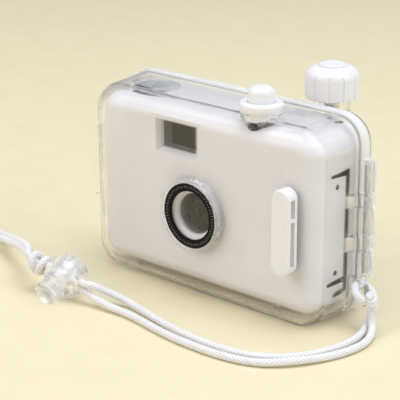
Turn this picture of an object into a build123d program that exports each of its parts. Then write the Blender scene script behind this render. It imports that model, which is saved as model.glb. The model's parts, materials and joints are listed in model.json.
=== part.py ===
from build123d import *
import os
from math import cos, pi, radians, sin, tan

os.makedirs("parts", exist_ok=True)

# The camera stands upright: X runs across its front, the front faces -Y and Z is up.
# The origin is on the ground plane, in the middle of the plane where the case halves meet.

# Case outline at the flange, and the shells behind and in front of it
flange_half = 63.5
case_height = 86.0
flange_corner = 12.0
flange_step = 0.8
front_flange = 2.5
lid_flange = 2.0
parting_gap = 0.1
front_depth = 27.4
lid_depth = 10.2
shell_taper = 1.2
case_round = 7.0
lid_round = 5.0
case_wall = 1.6
shell_half = flange_half - flange_step
shell_top = case_height - flange_step
shell_corner = flange_corner + flange_step / 2
case_floor = case_wall + flange_step

# Seal in the flange
seal_width = 0.8
seal_depth = 1.2
seal_inset = 0.8
seal_proud = 0.05

# Clearances
running_gap = 0.06
seat_gap = 0.05
slide_gap = 0.15
door_gap = 0.2

# Lens axis and the port in front of it
lens_x = -2.3
lens_z = 37.3
port_radius = 17.0
port_length = 3.2
port_bore = 13.2
port_window_back = 28.4
port_window_front = 29.6
port_ring_radius = 14.0
port_ring_bore = 10.4
port_ring_thick = 0.7

# Finger grip on the front
grip_x = 47.7
grip_width = 8.6
grip_low = 24.6
grip_top = 60.5
grip_plate = 1.6
grip_cap = 2.0
grip_height = 6.0
grip_web = 3.0
grip_rib_z = 48.0
grip_peg = 1.4
grip_peg_length = 0.8
grip_peg_spacing = 24.0

# Shutter plunger
plunger_x = 25.5
plunger_y = -17.8
plunger_boss = 8.6
plunger_boss_top = 84.9
sleeve_radius = 7.0
sleeve_low = 81.8
collar_radius = 9.0
collar_top = 89.1
collar_bore = 5.6
collar_floor = 83.4
cap_radius = 5.45
cap_low = 86.8
cap_straight = 92.4
cap_top = 95.3
cap_hollow = 3.9
cap_ceiling = 91.5
stem_radius = 1.5
stem_low = 79.45
stem_foot = 2.6
plunger_travel = 2.2
seal_bite = 0.02
plunger_seal_height = 1.2
coil_wire = 0.35
coil_radius = 2.9
coil_turns = 5

# Hinge of the case, on the right
hinge_x = 67.2
hinge_y = -2.0
barrel_radius = 3.2
hinge_pin_radius = 1.2
barrel_gap = 0.15
lid_barrel_ends = ((21.4, 31.5), (38.0, 50.0), (55.4, 69.3))
hinge_pin_low = 22.0
hinge_pin_top = 68.0

# Strap lug below the hinge
lug_out = 71.3
lug_back = -5.0
lug_thick = 3.0
lug_low = 9.0
lug_top = 21.1
lug_corner = 4.0
lug_hole = 2.2
lug_hole_x = 66.7
lug_hole_z = 17.7

# Latch on the left
latch_x = -66.4
latch_y = 5.0
latch_low = 30.0
latch_top = 61.0
latch_ear = 3.8
latch_barrel = 2.4
latch_ear_radius = 2.6
latch_pin_radius = 1.0
latch_plate_out = 66.8
latch_plate = 1.6
latch_reach = -21.0
latch_lip = 1.2
hook_y = -10.3
hook_thick = 1.7
hook_tip = 64.3
catch_tip = 64.0
catch_low = 36.0
catch_top = 55.0
catch_width = 2.0

# Wind knob on the lid
knob_x = 36.5
knob_y = 14.0
tower_radius = 7.6
tower_top = 89.5
tower_low = 80.0
housing_low = 64.4
tower_counterbore = 4.7
counterbore_floor = 84.6
knob_radius = 11.1
knob_low = 86.3
knob_rim = 94.8
knob_top = 99.4
knob_shoulder_steps = 6
knob_hollow = 8.2
knob_ceiling = 93.0
knob_flutes = 12
knob_flute_radius = 1.0
knob_flute_depth = 0.5
knob_cap_radius = 5.5
knob_cap_height = 0.9
knob_shaft_radius = 3.0
roller_radius = 5.4
roller_low = 68.0
roller_top = 75.0
roller_grooves = 24
shaft_low = 67.0
bush_low = 86.3
knob_seal_radius = 4.6

# Camera inside the case
camera_half = 59.0
camera_low = 5.5
camera_top = 79.8
camera_corner = 8.0
camera_front = -25.0
camera_back = 8.0
camera_front_round = 6.5
camera_back_round = 2.6
camera_wall = 1.8
deck_low = 63.0
deck_thick = 1.4
cover_back = -4.5
frame_front = -4.4
frame_back = 2.4
frame_wall = 2.0
frame_past = 20.0
joint_line = 0.1
case_rib_x = 38.0
case_rib = 2.4

# Camera lens
bezel_radius = 12.4
bezel_flange = 14.0
bezel_front = 28.2
bezel_cone_depth = 1.6
bezel_cone_radius = 10.6
bezel_bore = 8.9
glass_radius = 8.8
glass_front = 26.6
glass_back = 24.5
glass_ball = 36.0
barrel_outer = 8.7
barrel_bore = 5.6
barrel_back = 13.4
stop_radius = 2.0

# Chassis
chassis_half = 56.8
chassis_low = 7.5
chassis_top = 62.8
chassis_corner = 6.0
chassis_top_corner = 4.0
chassis_front = -21.0
chassis_round = 3.5
chamber_low = 12.0
chamber_top = 60.4
rewind_x = -42.6
rewind_y = -6.2
cartridge_radius = 13.0
spool_x = 35.5
spool_y = -4.4
takeup_radius = 12.6
gate_width = 36.0
gate_height = 24.0
cone_width = 16.0
cone_height = 12.0
cone_front = -12.0
rail_height = 0.3
rail_width = 1.6
rail_offset = 13.3
rail_length = 47.0

# Shutter
housing_half_x = 19.8
housing_half_z = 15.8
pocket_gap = 0.2
housing_back = -13.2
blade_y = -12.9
blade_thick = 0.5
blade_radius = 6.2
blade_pin_x = 12.0
blade_pin_z = 8.0
blade_pin_radius = 0.8

# Viewfinder
finder_x = -14.5
finder_z = 67.25
finder_frame_left = -27.4
finder_frame_right = -0.6
finder_frame_low = 57.8
finder_frame_top = 76.2
finder_frame_back = -21.3
finder_rim = 1.8
finder_glass_width = 20.4
finder_glass_height = 13.2
finder_tube_width = 13.6
finder_tube_height = 8.2
finder_rear_z = 68.6
finder_wall = 0.8

# Film transport
wheel_radius = 12.9
wheel_low = 68.5
wheel_top = 74.5
wheel_grips = 36
spool_core = 5.5
spool_flange = 9.0
spool_shaft = 2.4
spool_pivot = 2.0
spool_end_gap = 0.3
sprocket_x = 15.5
sprocket_y = -3.6
sprocket_shaft = 1.2
sprocket_base = 5.0
sprocket_tip = 6.0
sprocket_teeth = 8
sprocket_low = 52.0
sprocket_top = 54.2
sprocket_pocket = 6.5
counter_x = 43.5
counter_y = -2.5
counter_radius = 7.2
counter_low = 75.9
counter_thick = 1.0
counter_pin = 0.9
window_x = 48.0
window_y = 3.0
window_radius = 1.9
winding_radius = 10.6
winding_depth = 0.9
winding_proud = 0.2

# Buttons and rewind on the camera's top
button_radius = 5.2
button_low = 77.9
button_top = 79.1
button_stem = 2.0
button_stem_low = 60.8
rewind_radius = 10.2
rewind_low = 77.0
rewind_top = 79.4
rewind_well = 75.4
rewind_shaft = 2.0
fork_radius = 3.2
fork_low = 56.6
fork_top = 60.0
crank_width = 3.2
crank_depth = 1.4
crank_length = 17.0
crank_turn = -58.0
release_x = 18.0
release_y = -12.0
release_radius = 2.2
release_low = 5.7
release_top = 9.4

# Film door
door_hinge_x = 56.4
door_hinge_y = 5.4
door_barrel = 2.6
door_front = 2.6
door_inner = 6.2
door_top = 62.6
door_barrel_low = 14.2
door_barrel_top = 59.8
door_pin_radius = 0.8
door_pin_low = 9.5
door_pin_top = 62.3
plate_half = 23.0
plate_half_height = 17.2
plate_front = 2.9
plate_thick = 0.8
plate_spring = 0.3
door_latch_low = 31.0
door_latch_top = 39.0
door_latch_travel = 2.5

# Side details of the camera
slot_width = 1.2
slot_y = -5.7
slot_low = 13.4
slot_top = 64.6
slot_reach = -16.0
screw_y = -12.0
screw_places = (22.7, 59.0)
screw_head = 1.15
screw_shank = 0.7

# Strap, cord lock and knot
cord_radius = 1.6
cord_spacing = 1.7
hitch_centre = (70.2, -6.5, 15.4)
hitch_ring = 4.3
hitch_lean = -35.6
wrap_low = 9.9
wrap_top = 17.0
wrap_x = 74.7
wrap_y = -7.4
wrap_turn = -48.0
toggle_centre = (-43.0, -63.2, 9.6)
toggle_radius = 9.5
toggle_mouth = 7.4
toggle_bore = 5.7
toggle_floor = -6.4
toggle_button_radius = 5.4
toggle_button_low = -2.2
toggle_button_end = 14.0
toggle_travel = 2.5
toggle_cord_height = 0.8
toggle_slot_gap = 0.1
toggle_wire = 0.3
knot_start = 10.2
knot_length = 8.0
knot_radius = 4.2


def at_depth(y):
    """The plane of the front view at depth y. Its x is X and its y is Z."""
    return Plane.XZ.offset(-y)


def turned(x, y, profile):
    """A solid turned about an upright axis, from (radius, height) points."""
    with BuildPart() as solid:
        with BuildSketch(Plane(origin=(x, y, 0), x_dir=(1, 0, 0), z_dir=(0, -1, 0))):
            Polygon(*profile, align=None)
        revolve(axis=Axis((x, y, 0), (0, 0, 1)))
    return solid.part


def rod(x, y, low, top, radius):
    """An upright round bar between two heights."""
    return turned(x, y, [(0, low), (radius, low), (radius, top), (0, top)])


def lens_turned(profile):
    """A solid turned about the lens axis, from (radius, distance forward) points."""
    with BuildPart() as solid:
        with BuildSketch(Plane(origin=(lens_x, 0, lens_z), x_dir=(1, 0, 0), z_dir=(0, 0, -1))):
            Polygon(*profile, align=None)
        revolve(axis=Axis((lens_x, 0, lens_z), (0, -1, 0)))
    return solid.part


def lens_disc(radius, back, front):
    """A round disc on the lens axis between two distances forward."""
    return lens_turned([(0, back), (radius, back), (radius, front), (0, front)])


def block(x_range, y_range, z_range):
    """A square-edged block between two X, two Y and two Z values."""
    with BuildPart() as solid:
        with BuildSketch(Plane.XY.offset(z_range[0])):
            with Locations((sum(x_range) / 2, sum(y_range) / 2)):
                Rectangle(x_range[1] - x_range[0], y_range[1] - y_range[0])
        extrude(amount=z_range[1] - z_range[0])
    return solid.part


def plan_slab(points, low, top):
    """An outline drawn in plan, between two heights."""
    with BuildPart() as solid:
        with BuildSketch(Plane.XY.offset(low)):
            Polygon(*points, align=None)
        extrude(amount=top - low)
    return solid.part


def front_frame(half, low, top, corner):
    """A rounded rectangle of the front view, for a sketch on an at_depth plane."""
    with Locations((0, (low + top) / 2)):
        RectangleRounded(2 * half, top - low, corner)


def case_half(side, depth, inset, low, start):
    """One half of the case, or its cavity: side is -1 for the front and 1 for the lid."""
    with BuildPart() as solid:
        for y, lean in ((start, 0), (side * (depth - inset), shell_taper)):
            with BuildSketch(at_depth(y)):
                front_frame(shell_half - inset - lean, low, shell_top - inset - lean, shell_corner - inset)
        loft(ruled=True)
        far_face = solid.faces().sort_by(Axis.Y)[0 if side < 0 else -1]
        fillet(far_face.edges(), (case_round if side < 0 else lid_round) - inset)
    return solid.part


def camera_block(inset):
    """The whole outer form of the camera, drawn in by an inset."""
    with BuildPart() as solid:
        with BuildSketch(at_depth(camera_back - inset)):
            front_frame(camera_half - inset, camera_low + inset, camera_top - inset, camera_corner - inset)
        extrude(amount=camera_back - camera_front - 2 * inset)
        fillet(solid.faces().sort_by(Axis.Y)[0].edges(), camera_front_round - inset)
        fillet(solid.faces().sort_by(Axis.Y)[-1].edges(), camera_back_round - inset)
    return solid.part


def corner_radii(points):
    """The arc at each corner of a cord: as large as the shorter of its two runs allows."""
    radii = []
    for before, corner, after in zip(points, points[1:], points[2:]):
        run_in = Vector(*corner) - Vector(*before)
        run_out = Vector(*after) - Vector(*corner)
        turn = radians(run_in.get_angle(run_out))
        radii.append(0.45 * min(run_in.length, run_out.length) / tan(turn / 2))
    return radii


def tube(points, radius):
    """A cord along straight runs joined by arcs."""
    radii = corner_radii(points)
    with BuildPart() as solid:
        with BuildLine() as path:
            FilletPolyline(*points, radius=radii)
        with BuildSketch(Plane(origin=path.line @ 0, z_dir=path.line % 0)):
            Circle(radius)
        sweep(path=path.line)
    length = path.wires()[0].length
    share = solid.part.volume / (length * pi * radius**2)
    print(
        "cord length", round(length, 1), "radii", [round(r, 1) for r in radii],
        "volume share", round(share, 4),
    )
    return solid.part


# Front half of the case
shell_front = -front_depth
boss_front = shell_front - port_length
with BuildPart() as front_shell:
    add(case_half(-1, front_depth, 0, 0, 0))
    with BuildSketch(at_depth(0)):
        front_frame(flange_half, 0, case_height, flange_corner)
    extrude(amount=front_flange)
    add(rod(plunger_x, plunger_y, camera_top - 8, plunger_boss_top, plunger_boss))
    with BuildSketch(at_depth(shell_front)):
        with Locations((lens_x, lens_z)):
            Circle(port_radius)
    extrude(amount=port_length, taper=20)
    add(case_half(-1, front_depth, case_wall, case_floor, 0), mode=Mode.SUBTRACT)
    # Lens port: a bore behind the window and a recess for the black ring in front of it
    add(lens_disc(port_bore, front_depth - 3 * case_wall, port_window_back), mode=Mode.SUBTRACT)
    add(lens_disc(port_ring_radius + seat_gap, port_window_front, -boss_front + 1), mode=Mode.SUBTRACT)
    # Plunger hole and grip sockets
    add(rod(plunger_x, plunger_y, camera_top, case_height, sleeve_radius + seat_gap), mode=Mode.SUBTRACT)
    with BuildSketch(at_depth(shell_front)):
        with Locations((grip_x, (grip_low + grip_top) / 2)):
            with GridLocations(1, grip_peg_spacing, 1, 2):
                Circle(grip_peg + seat_gap)
    extrude(amount=-grip_peg_length - 0.1, mode=Mode.SUBTRACT)
    # Ribs that carry the camera
    for rib_x in (-case_rib_x, case_rib_x):
        rib_span = (rib_x - case_rib / 2, rib_x + case_rib / 2)
        add(block(rib_span, (camera_front + 3, -3), (case_floor - 0.5, camera_low)))
    # Hinge knuckles between the barrels of the lid
    for below, above in zip(lid_barrel_ends, lid_barrel_ends[1:]):
        knuckle_low = below[1] + barrel_gap
        knuckle_top = above[0] - barrel_gap
        arm = [
            (shell_half - shell_taper, hinge_y - 9),
            (shell_half - shell_taper, hinge_y - 0.6),
            (hinge_x, hinge_y),
            (hinge_x, hinge_y - barrel_radius),
        ]
        add(plan_slab(arm, knuckle_low, knuckle_top))
        add(rod(hinge_x, hinge_y, knuckle_low, knuckle_top, barrel_radius))
    add(
        rod(hinge_x, hinge_y, hinge_pin_low, case_height, hinge_pin_radius + running_gap),
        mode=Mode.SUBTRACT,
    )
    # Catch ridge for the latch
    catch_middle = hook_y + slide_gap + catch_width / 2
    ridge = [
        (-shell_half + case_wall / 2, catch_middle + catch_width),
        (-shell_half + case_wall / 2, catch_middle - catch_width / 2),
        (-catch_tip, catch_middle - catch_width / 2),
    ]
    add(plan_slab(ridge, catch_low, catch_top))
    # Strap lug
    with BuildSketch(at_depth(lug_back)):
        with BuildLine():
            FilletPolyline(
                (shell_half - shell_taper, lug_low - 3),
                (lug_out, lug_low),
                (lug_out, lug_top),
                (shell_half - shell_taper, lug_top),
                radius=lug_corner,
            )
            Line((shell_half - shell_taper, lug_top), (shell_half - shell_taper, lug_low - 3))
        make_face()
        with Locations((lug_hole_x, lug_hole_z)):
            Circle(lug_hole, mode=Mode.SUBTRACT)
    extrude(amount=lug_thick)
    # Groove for the seal
    with BuildSketch(at_depth(0)):
        groove = seal_inset - seat_gap
        groove_end = seal_inset + seal_width + seat_gap
        front_frame(flange_half - groove, groove, case_height - groove, flange_corner - groove)
        with Locations((0, case_height / 2)):
            RectangleRounded(
                2 * (flange_half - groove_end),
                case_height - 2 * groove_end,
                flange_corner - groove_end,
                mode=Mode.SUBTRACT,
            )
    extrude(amount=seal_depth, mode=Mode.SUBTRACT)
front_shell.part.label = "front_shell"
export_step(front_shell.part, "parts/front_shell.step")

# Seal ring in the groove of the flange
with BuildPart() as case_seal:
    with BuildSketch(at_depth(seal_proud)):
        front_frame(
            flange_half - seal_inset, seal_inset,
            case_height - seal_inset,
            flange_corner - seal_inset,
        )
        inner = seal_inset + seal_width
        with Locations((0, case_height / 2)):
            RectangleRounded(
                2 * (flange_half - inner), case_height - 2 * inner, flange_corner - inner, mode=Mode.SUBTRACT
            )
    extrude(amount=seal_depth + seal_proud)
case_seal.part.label = "case_seal"
export_step(case_seal.part, "parts/case_seal.step")

# Black ring round the lens port, with plain ticks cut round its face
with BuildPart() as lens_port_ring:
    ring_front = port_window_front + port_ring_thick
    add(lens_turned([
        (port_ring_bore, port_window_front),
        (port_ring_radius, port_window_front),
        (port_ring_radius, ring_front),
        (port_ring_bore + 0.4, ring_front),
    ]))
lens_port_ring.part.label = "lens_port_ring"
export_step(lens_port_ring.part, "parts/lens_port_ring.step")

# Finger grip: a long pill with a plate, a web and a cap, and a pocket on each side
grip_middle = (grip_low + grip_top) / 2
grip_length = grip_top - grip_low
with BuildPart() as finger_grip:
    with BuildSketch(at_depth(shell_front)):
        with Locations((grip_x, grip_middle)):
            SlotOverall(grip_length, grip_width, rotation=90)
    extrude(amount=grip_height)
    fillet(finger_grip.faces().sort_by(Axis.Y)[0].edges(), 0.8)
    for side in (-1, 1):
        for pocket_low, pocket_top in ((grip_low + 4, grip_rib_z - 0.8), (grip_rib_z + 0.8, grip_top - 4)):
            pocket_inner = grip_x + side * grip_web / 2
            pocket_outer = grip_x + side * grip_width
            pocket_y = (shell_front - grip_height + grip_cap, shell_front - grip_plate)
            pocket_x = sorted((pocket_inner, pocket_outer))
            add(block(pocket_x, pocket_y, (pocket_low, pocket_top)), mode=Mode.SUBTRACT)
    with BuildSketch(at_depth(shell_front)):
        with Locations((grip_x, grip_middle)):
            with GridLocations(1, grip_peg_spacing, 1, 2):
                Circle(grip_peg)
    extrude(amount=-grip_peg_length)
finger_grip.part.label = "finger_grip"
export_step(finger_grip.part, "parts/finger_grip.step")

# Plunger: collar, seal, return spring, cap and stem on one upright axis
with BuildPart() as plunger_collar:
    add(turned(plunger_x, plunger_y, [
        (stem_radius + slide_gap, sleeve_low),
        (sleeve_radius, sleeve_low),
        (sleeve_radius, plunger_boss_top),
        (collar_radius - 1.1, plunger_boss_top),
        (collar_radius, plunger_boss_top + 1.7),
        (collar_radius, collar_top - 0.7),
        (collar_radius - 0.6, collar_top),
        (collar_bore, collar_top),
        (collar_bore, collar_floor),
        (stem_radius + slide_gap, collar_floor),
    ]))
plunger_collar.part.label = "plunger_collar"
export_step(plunger_collar.part, "parts/plunger_collar.step")

with BuildPart() as plunger_seal:
    add(turned(plunger_x, plunger_y, [
        (stem_radius + seal_bite, collar_floor + 0.3),
        (stem_radius + 0.5, collar_floor),
        (cap_hollow - 0.5, collar_floor),
        (cap_hollow - 0.5, collar_floor + plunger_seal_height),
        (stem_radius + 0.5, collar_floor + plunger_seal_height),
        (stem_radius + seal_bite, collar_floor + plunger_seal_height - 0.3),
    ]))
plunger_seal.part.label = "plunger_seal"
export_step(plunger_seal.part, "parts/plunger_seal.step")


def coil(origin, direction, length, radius, wire, turns):
    """A compression spring from one unbroken wire, as half turns of a helix."""
    pitch = (length - 2 * wire) / turns
    with BuildPart() as solid:
        with BuildLine() as path:
            Helix(pitch, pitch * turns, radius, center=origin, direction=direction)
        start = path.line @ 0
        with BuildSketch(Plane(origin=start, z_dir=path.line % 0)):
            Circle(wire)
        sweep(path=path.line)
    print("spring gap between turns", round(pitch - 2 * wire, 2))
    return solid.part


spring_low = collar_floor + plunger_seal_height
with BuildPart() as plunger_spring:
    spring_start = (plunger_x, plunger_y, spring_low + coil_wire)
    add(coil(spring_start, (0, 0, 1), cap_ceiling - spring_low, coil_radius, coil_wire, coil_turns))
plunger_spring.part.label = "plunger_spring"
export_step(plunger_spring.part, "parts/plunger_spring.step")

with BuildPart() as plunger_cap:
    add(turned(plunger_x, plunger_y, [
        (0, cap_top),
        (0, cap_ceiling + 1.5),
        (stem_radius, cap_ceiling + 1.5),
        (stem_radius, cap_ceiling),
        (cap_hollow, cap_ceiling),
        (cap_hollow, cap_low),
        (cap_radius, cap_low),
        (cap_radius, cap_top),
    ]))
    fillet(plunger_cap.edges().filter_by(GeomType.CIRCLE).sort_by(Axis.Z)[-1], cap_top - cap_straight)
plunger_cap.part.label = "plunger_cap"
export_step(plunger_cap.part, "parts/plunger_cap.step")

with BuildPart() as plunger_stem:
    add(rod(plunger_x, plunger_y, stem_low, cap_ceiling + 1.5, stem_radius))
    add(rod(plunger_x, plunger_y, stem_low, stem_low + 0.8, stem_foot))
plunger_stem.part.label = "plunger_stem"
export_step(plunger_stem.part, "parts/plunger_stem.step")

# Pin of the case hinge
with BuildPart() as hinge_pin:
    add(rod(hinge_x, hinge_y, hinge_pin_low, hinge_pin_top, hinge_pin_radius))
    chamfer(hinge_pin.edges().filter_by(GeomType.CIRCLE), 0.3)
hinge_pin.part.label = "hinge_pin"
export_step(hinge_pin.part, "parts/hinge_pin.step")

# Rear half of the case, the lid, with the tower that carries the wind knob
with BuildPart() as rear_shell:
    add(case_half(1, lid_depth, 0, 0, parting_gap))
    with BuildSketch(at_depth(parting_gap)):
        front_frame(flange_half, 0, case_height, flange_corner)
    extrude(amount=-lid_flange)
    add(rod(knob_x, knob_y, housing_low, tower_top, tower_radius))
    add(case_half(1, lid_depth, case_wall, case_floor, parting_gap), mode=Mode.SUBTRACT)
    # Hollow of the housing, open towards the camera, where the drive roller turns
    add(
        rod(knob_x, knob_y, housing_low + case_wall, tower_low, tower_radius - case_wall),
        mode=Mode.SUBTRACT,
    )
    # Bore for the knob shaft, with a wider seat for its seal and bush
    add(rod(knob_x, knob_y, tower_low - 1, case_height, knob_shaft_radius + running_gap), mode=Mode.SUBTRACT)
    add(rod(knob_x, knob_y, counterbore_floor, tower_top + 1, tower_counterbore), mode=Mode.SUBTRACT)
    # Hinge barrels
    for barrel_low, barrel_top in lid_barrel_ends:
        arm = [
            (shell_half - 0.3, parting_gap),
            (shell_half - 0.3, parting_gap + lid_flange),
            (hinge_x, hinge_y + barrel_radius),
            (hinge_x, hinge_y + 1),
            (flange_half + 1.1, parting_gap),
        ]
        add(plan_slab(arm, barrel_low, barrel_top))
        add(rod(hinge_x, hinge_y, barrel_low, barrel_top, barrel_radius))
    add(rod(hinge_x, hinge_y, 0, case_height, hinge_pin_radius + running_gap), mode=Mode.SUBTRACT)
    # Ears for the latch pin
    for ear_low in (latch_low, latch_top - latch_ear):
        ear = [
            (-shell_half + case_wall / 2, latch_y - 2.6),
            (latch_x, latch_y - latch_ear_radius),
            (latch_x, latch_y + latch_ear_radius),
            (-shell_half + case_wall + 0.9, latch_y + latch_ear_radius),
        ]
        add(plan_slab(ear, ear_low, ear_low + latch_ear))
        add(rod(latch_x, latch_y, ear_low, ear_low + latch_ear, latch_ear_radius))
    add(rod(latch_x, latch_y, latch_low, latch_top, latch_pin_radius), mode=Mode.SUBTRACT)
rear_shell.part.label = "rear_shell"
export_step(rear_shell.part, "parts/rear_shell.step")

# Latch pin and the latch that turns on it and hooks over the ridge
with BuildPart() as latch_pin:
    add(rod(latch_x, latch_y, latch_low + 0.5, latch_top - 0.5, latch_pin_radius))
latch_pin.part.label = "latch_pin"
export_step(latch_pin.part, "parts/latch_pin.step")

plate_out = -latch_plate_out
plate_in = plate_out + latch_plate
with BuildPart() as latch_lever:
    barrel_ends = (latch_low + latch_ear + slide_gap, latch_top - latch_ear - slide_gap)
    add(rod(latch_x, latch_y, *barrel_ends, latch_barrel))
    lever = [
        (plate_out, latch_y),
        (plate_out, latch_reach + 3),
        (plate_out - latch_lip, latch_reach),
        (plate_in - latch_lip, latch_reach),
        (plate_in, latch_reach + 3),
        (plate_in, hook_y - hook_thick),
        (-hook_tip, hook_y - hook_thick / 2),
        (-hook_tip, hook_y),
        (plate_in, hook_y),
        (plate_in, latch_y - latch_barrel),
    ]
    add(plan_slab(lever, *barrel_ends))
    wide_plate = [
        (plate_out, 0.5),
        (plate_out, latch_reach + 3),
        (plate_out - latch_lip, latch_reach),
        (plate_in - latch_lip, latch_reach),
        (plate_in, latch_reach + 3),
        (plate_in, 0.5),
    ]
    add(plan_slab(wide_plate, latch_low, latch_top))
    add(rod(latch_x, latch_y, latch_low, latch_top, latch_pin_radius + running_gap), mode=Mode.SUBTRACT)
latch_lever.part.label = "latch_lever"
export_step(latch_lever.part, "parts/latch_lever.step")

# Seal and bush in the tower
with BuildPart() as knob_seal:
    add(turned(knob_x, knob_y, [
        (knob_shaft_radius + seal_bite, counterbore_floor + 0.4),
        (knob_shaft_radius + 0.4, counterbore_floor),
        (knob_seal_radius - 0.3, counterbore_floor),
        (knob_seal_radius, counterbore_floor + 0.4),
        (knob_seal_radius, bush_low - 0.4),
        (knob_seal_radius - 0.3, bush_low),
        (knob_shaft_radius + 0.4, bush_low),
        (knob_shaft_radius + seal_bite, bush_low - 0.4),
    ]))
knob_seal.part.label = "knob_seal"
export_step(knob_seal.part, "parts/knob_seal.step")

with BuildPart() as knob_bush:
    bush_bore = knob_shaft_radius + running_gap
    bush_outer = tower_counterbore - seat_gap
    add(turned(knob_x, knob_y, [
        (bush_bore, bush_low), (bush_outer, bush_low), (bush_outer, tower_top), (bush_bore, tower_top),
    ]))
knob_bush.part.label = "knob_bush"
export_step(knob_bush.part, "parts/knob_bush.step")

# Wind knob: a fluted drum with a crowned top, hollow round the tower
crown_edge = knob_cap_radius + 0.4
shoulder = [
    (
        crown_edge + (knob_radius - crown_edge) * cos(pi / 2 * step / knob_shoulder_steps),
        knob_rim + (knob_top - knob_rim) * sin(pi / 2 * step / knob_shoulder_steps),
    )
    for step in range(knob_shoulder_steps + 1)
]
with BuildPart() as wind_knob:
    add(turned(knob_x, knob_y, [
        (0, knob_top),
        (0, knob_ceiling),
        (knob_hollow, knob_ceiling),
        (knob_hollow, knob_low),
        (knob_radius - 0.5, knob_low),
        (knob_radius, knob_low + 0.5),
        *shoulder,
    ]))
    flute_circle = knob_radius + knob_flute_radius - knob_flute_depth
    with BuildSketch(Plane.XY.offset(knob_low - 1)):
        with Locations((knob_x, knob_y)):
            with PolarLocations(flute_circle, knob_flutes):
                Circle(knob_flute_radius)
    extrude(amount=knob_rim - knob_low + 3, mode=Mode.SUBTRACT)
wind_knob.part.label = "wind_knob"
export_step(wind_knob.part, "parts/wind_knob.step")

with BuildPart() as knob_cap:
    add(rod(knob_x, knob_y, knob_top, knob_top + knob_cap_height, knob_cap_radius))
    fillet(knob_cap.edges().filter_by(GeomType.CIRCLE).sort_by(Axis.Z)[-1], knob_cap_height * 0.6)
knob_cap.part.label = "knob_cap"
export_step(knob_cap.part, "parts/knob_cap.step")

with BuildPart() as knob_shaft:
    add(rod(knob_x, knob_y, shaft_low, knob_ceiling, knob_shaft_radius))
    chamfer(knob_shaft.edges().filter_by(GeomType.CIRCLE).sort_by(Axis.Z)[0], 0.5)
knob_shaft.part.label = "knob_shaft"
export_step(knob_shaft.part, "parts/knob_shaft.step")

with BuildPart() as drive_roller:
    with BuildSketch(Plane.XY.offset(roller_low)):
        with Locations((knob_x, knob_y)):
            Circle(roller_radius)
            with PolarLocations(roller_radius, roller_grooves):
                Circle(0.35, mode=Mode.SUBTRACT)
            Circle(knob_shaft_radius, mode=Mode.SUBTRACT)
    extrude(amount=roller_top - roller_low)
drive_roller.part.label = "drive_roller"
export_step(drive_roller.part, "parts/drive_roller.step")

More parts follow.
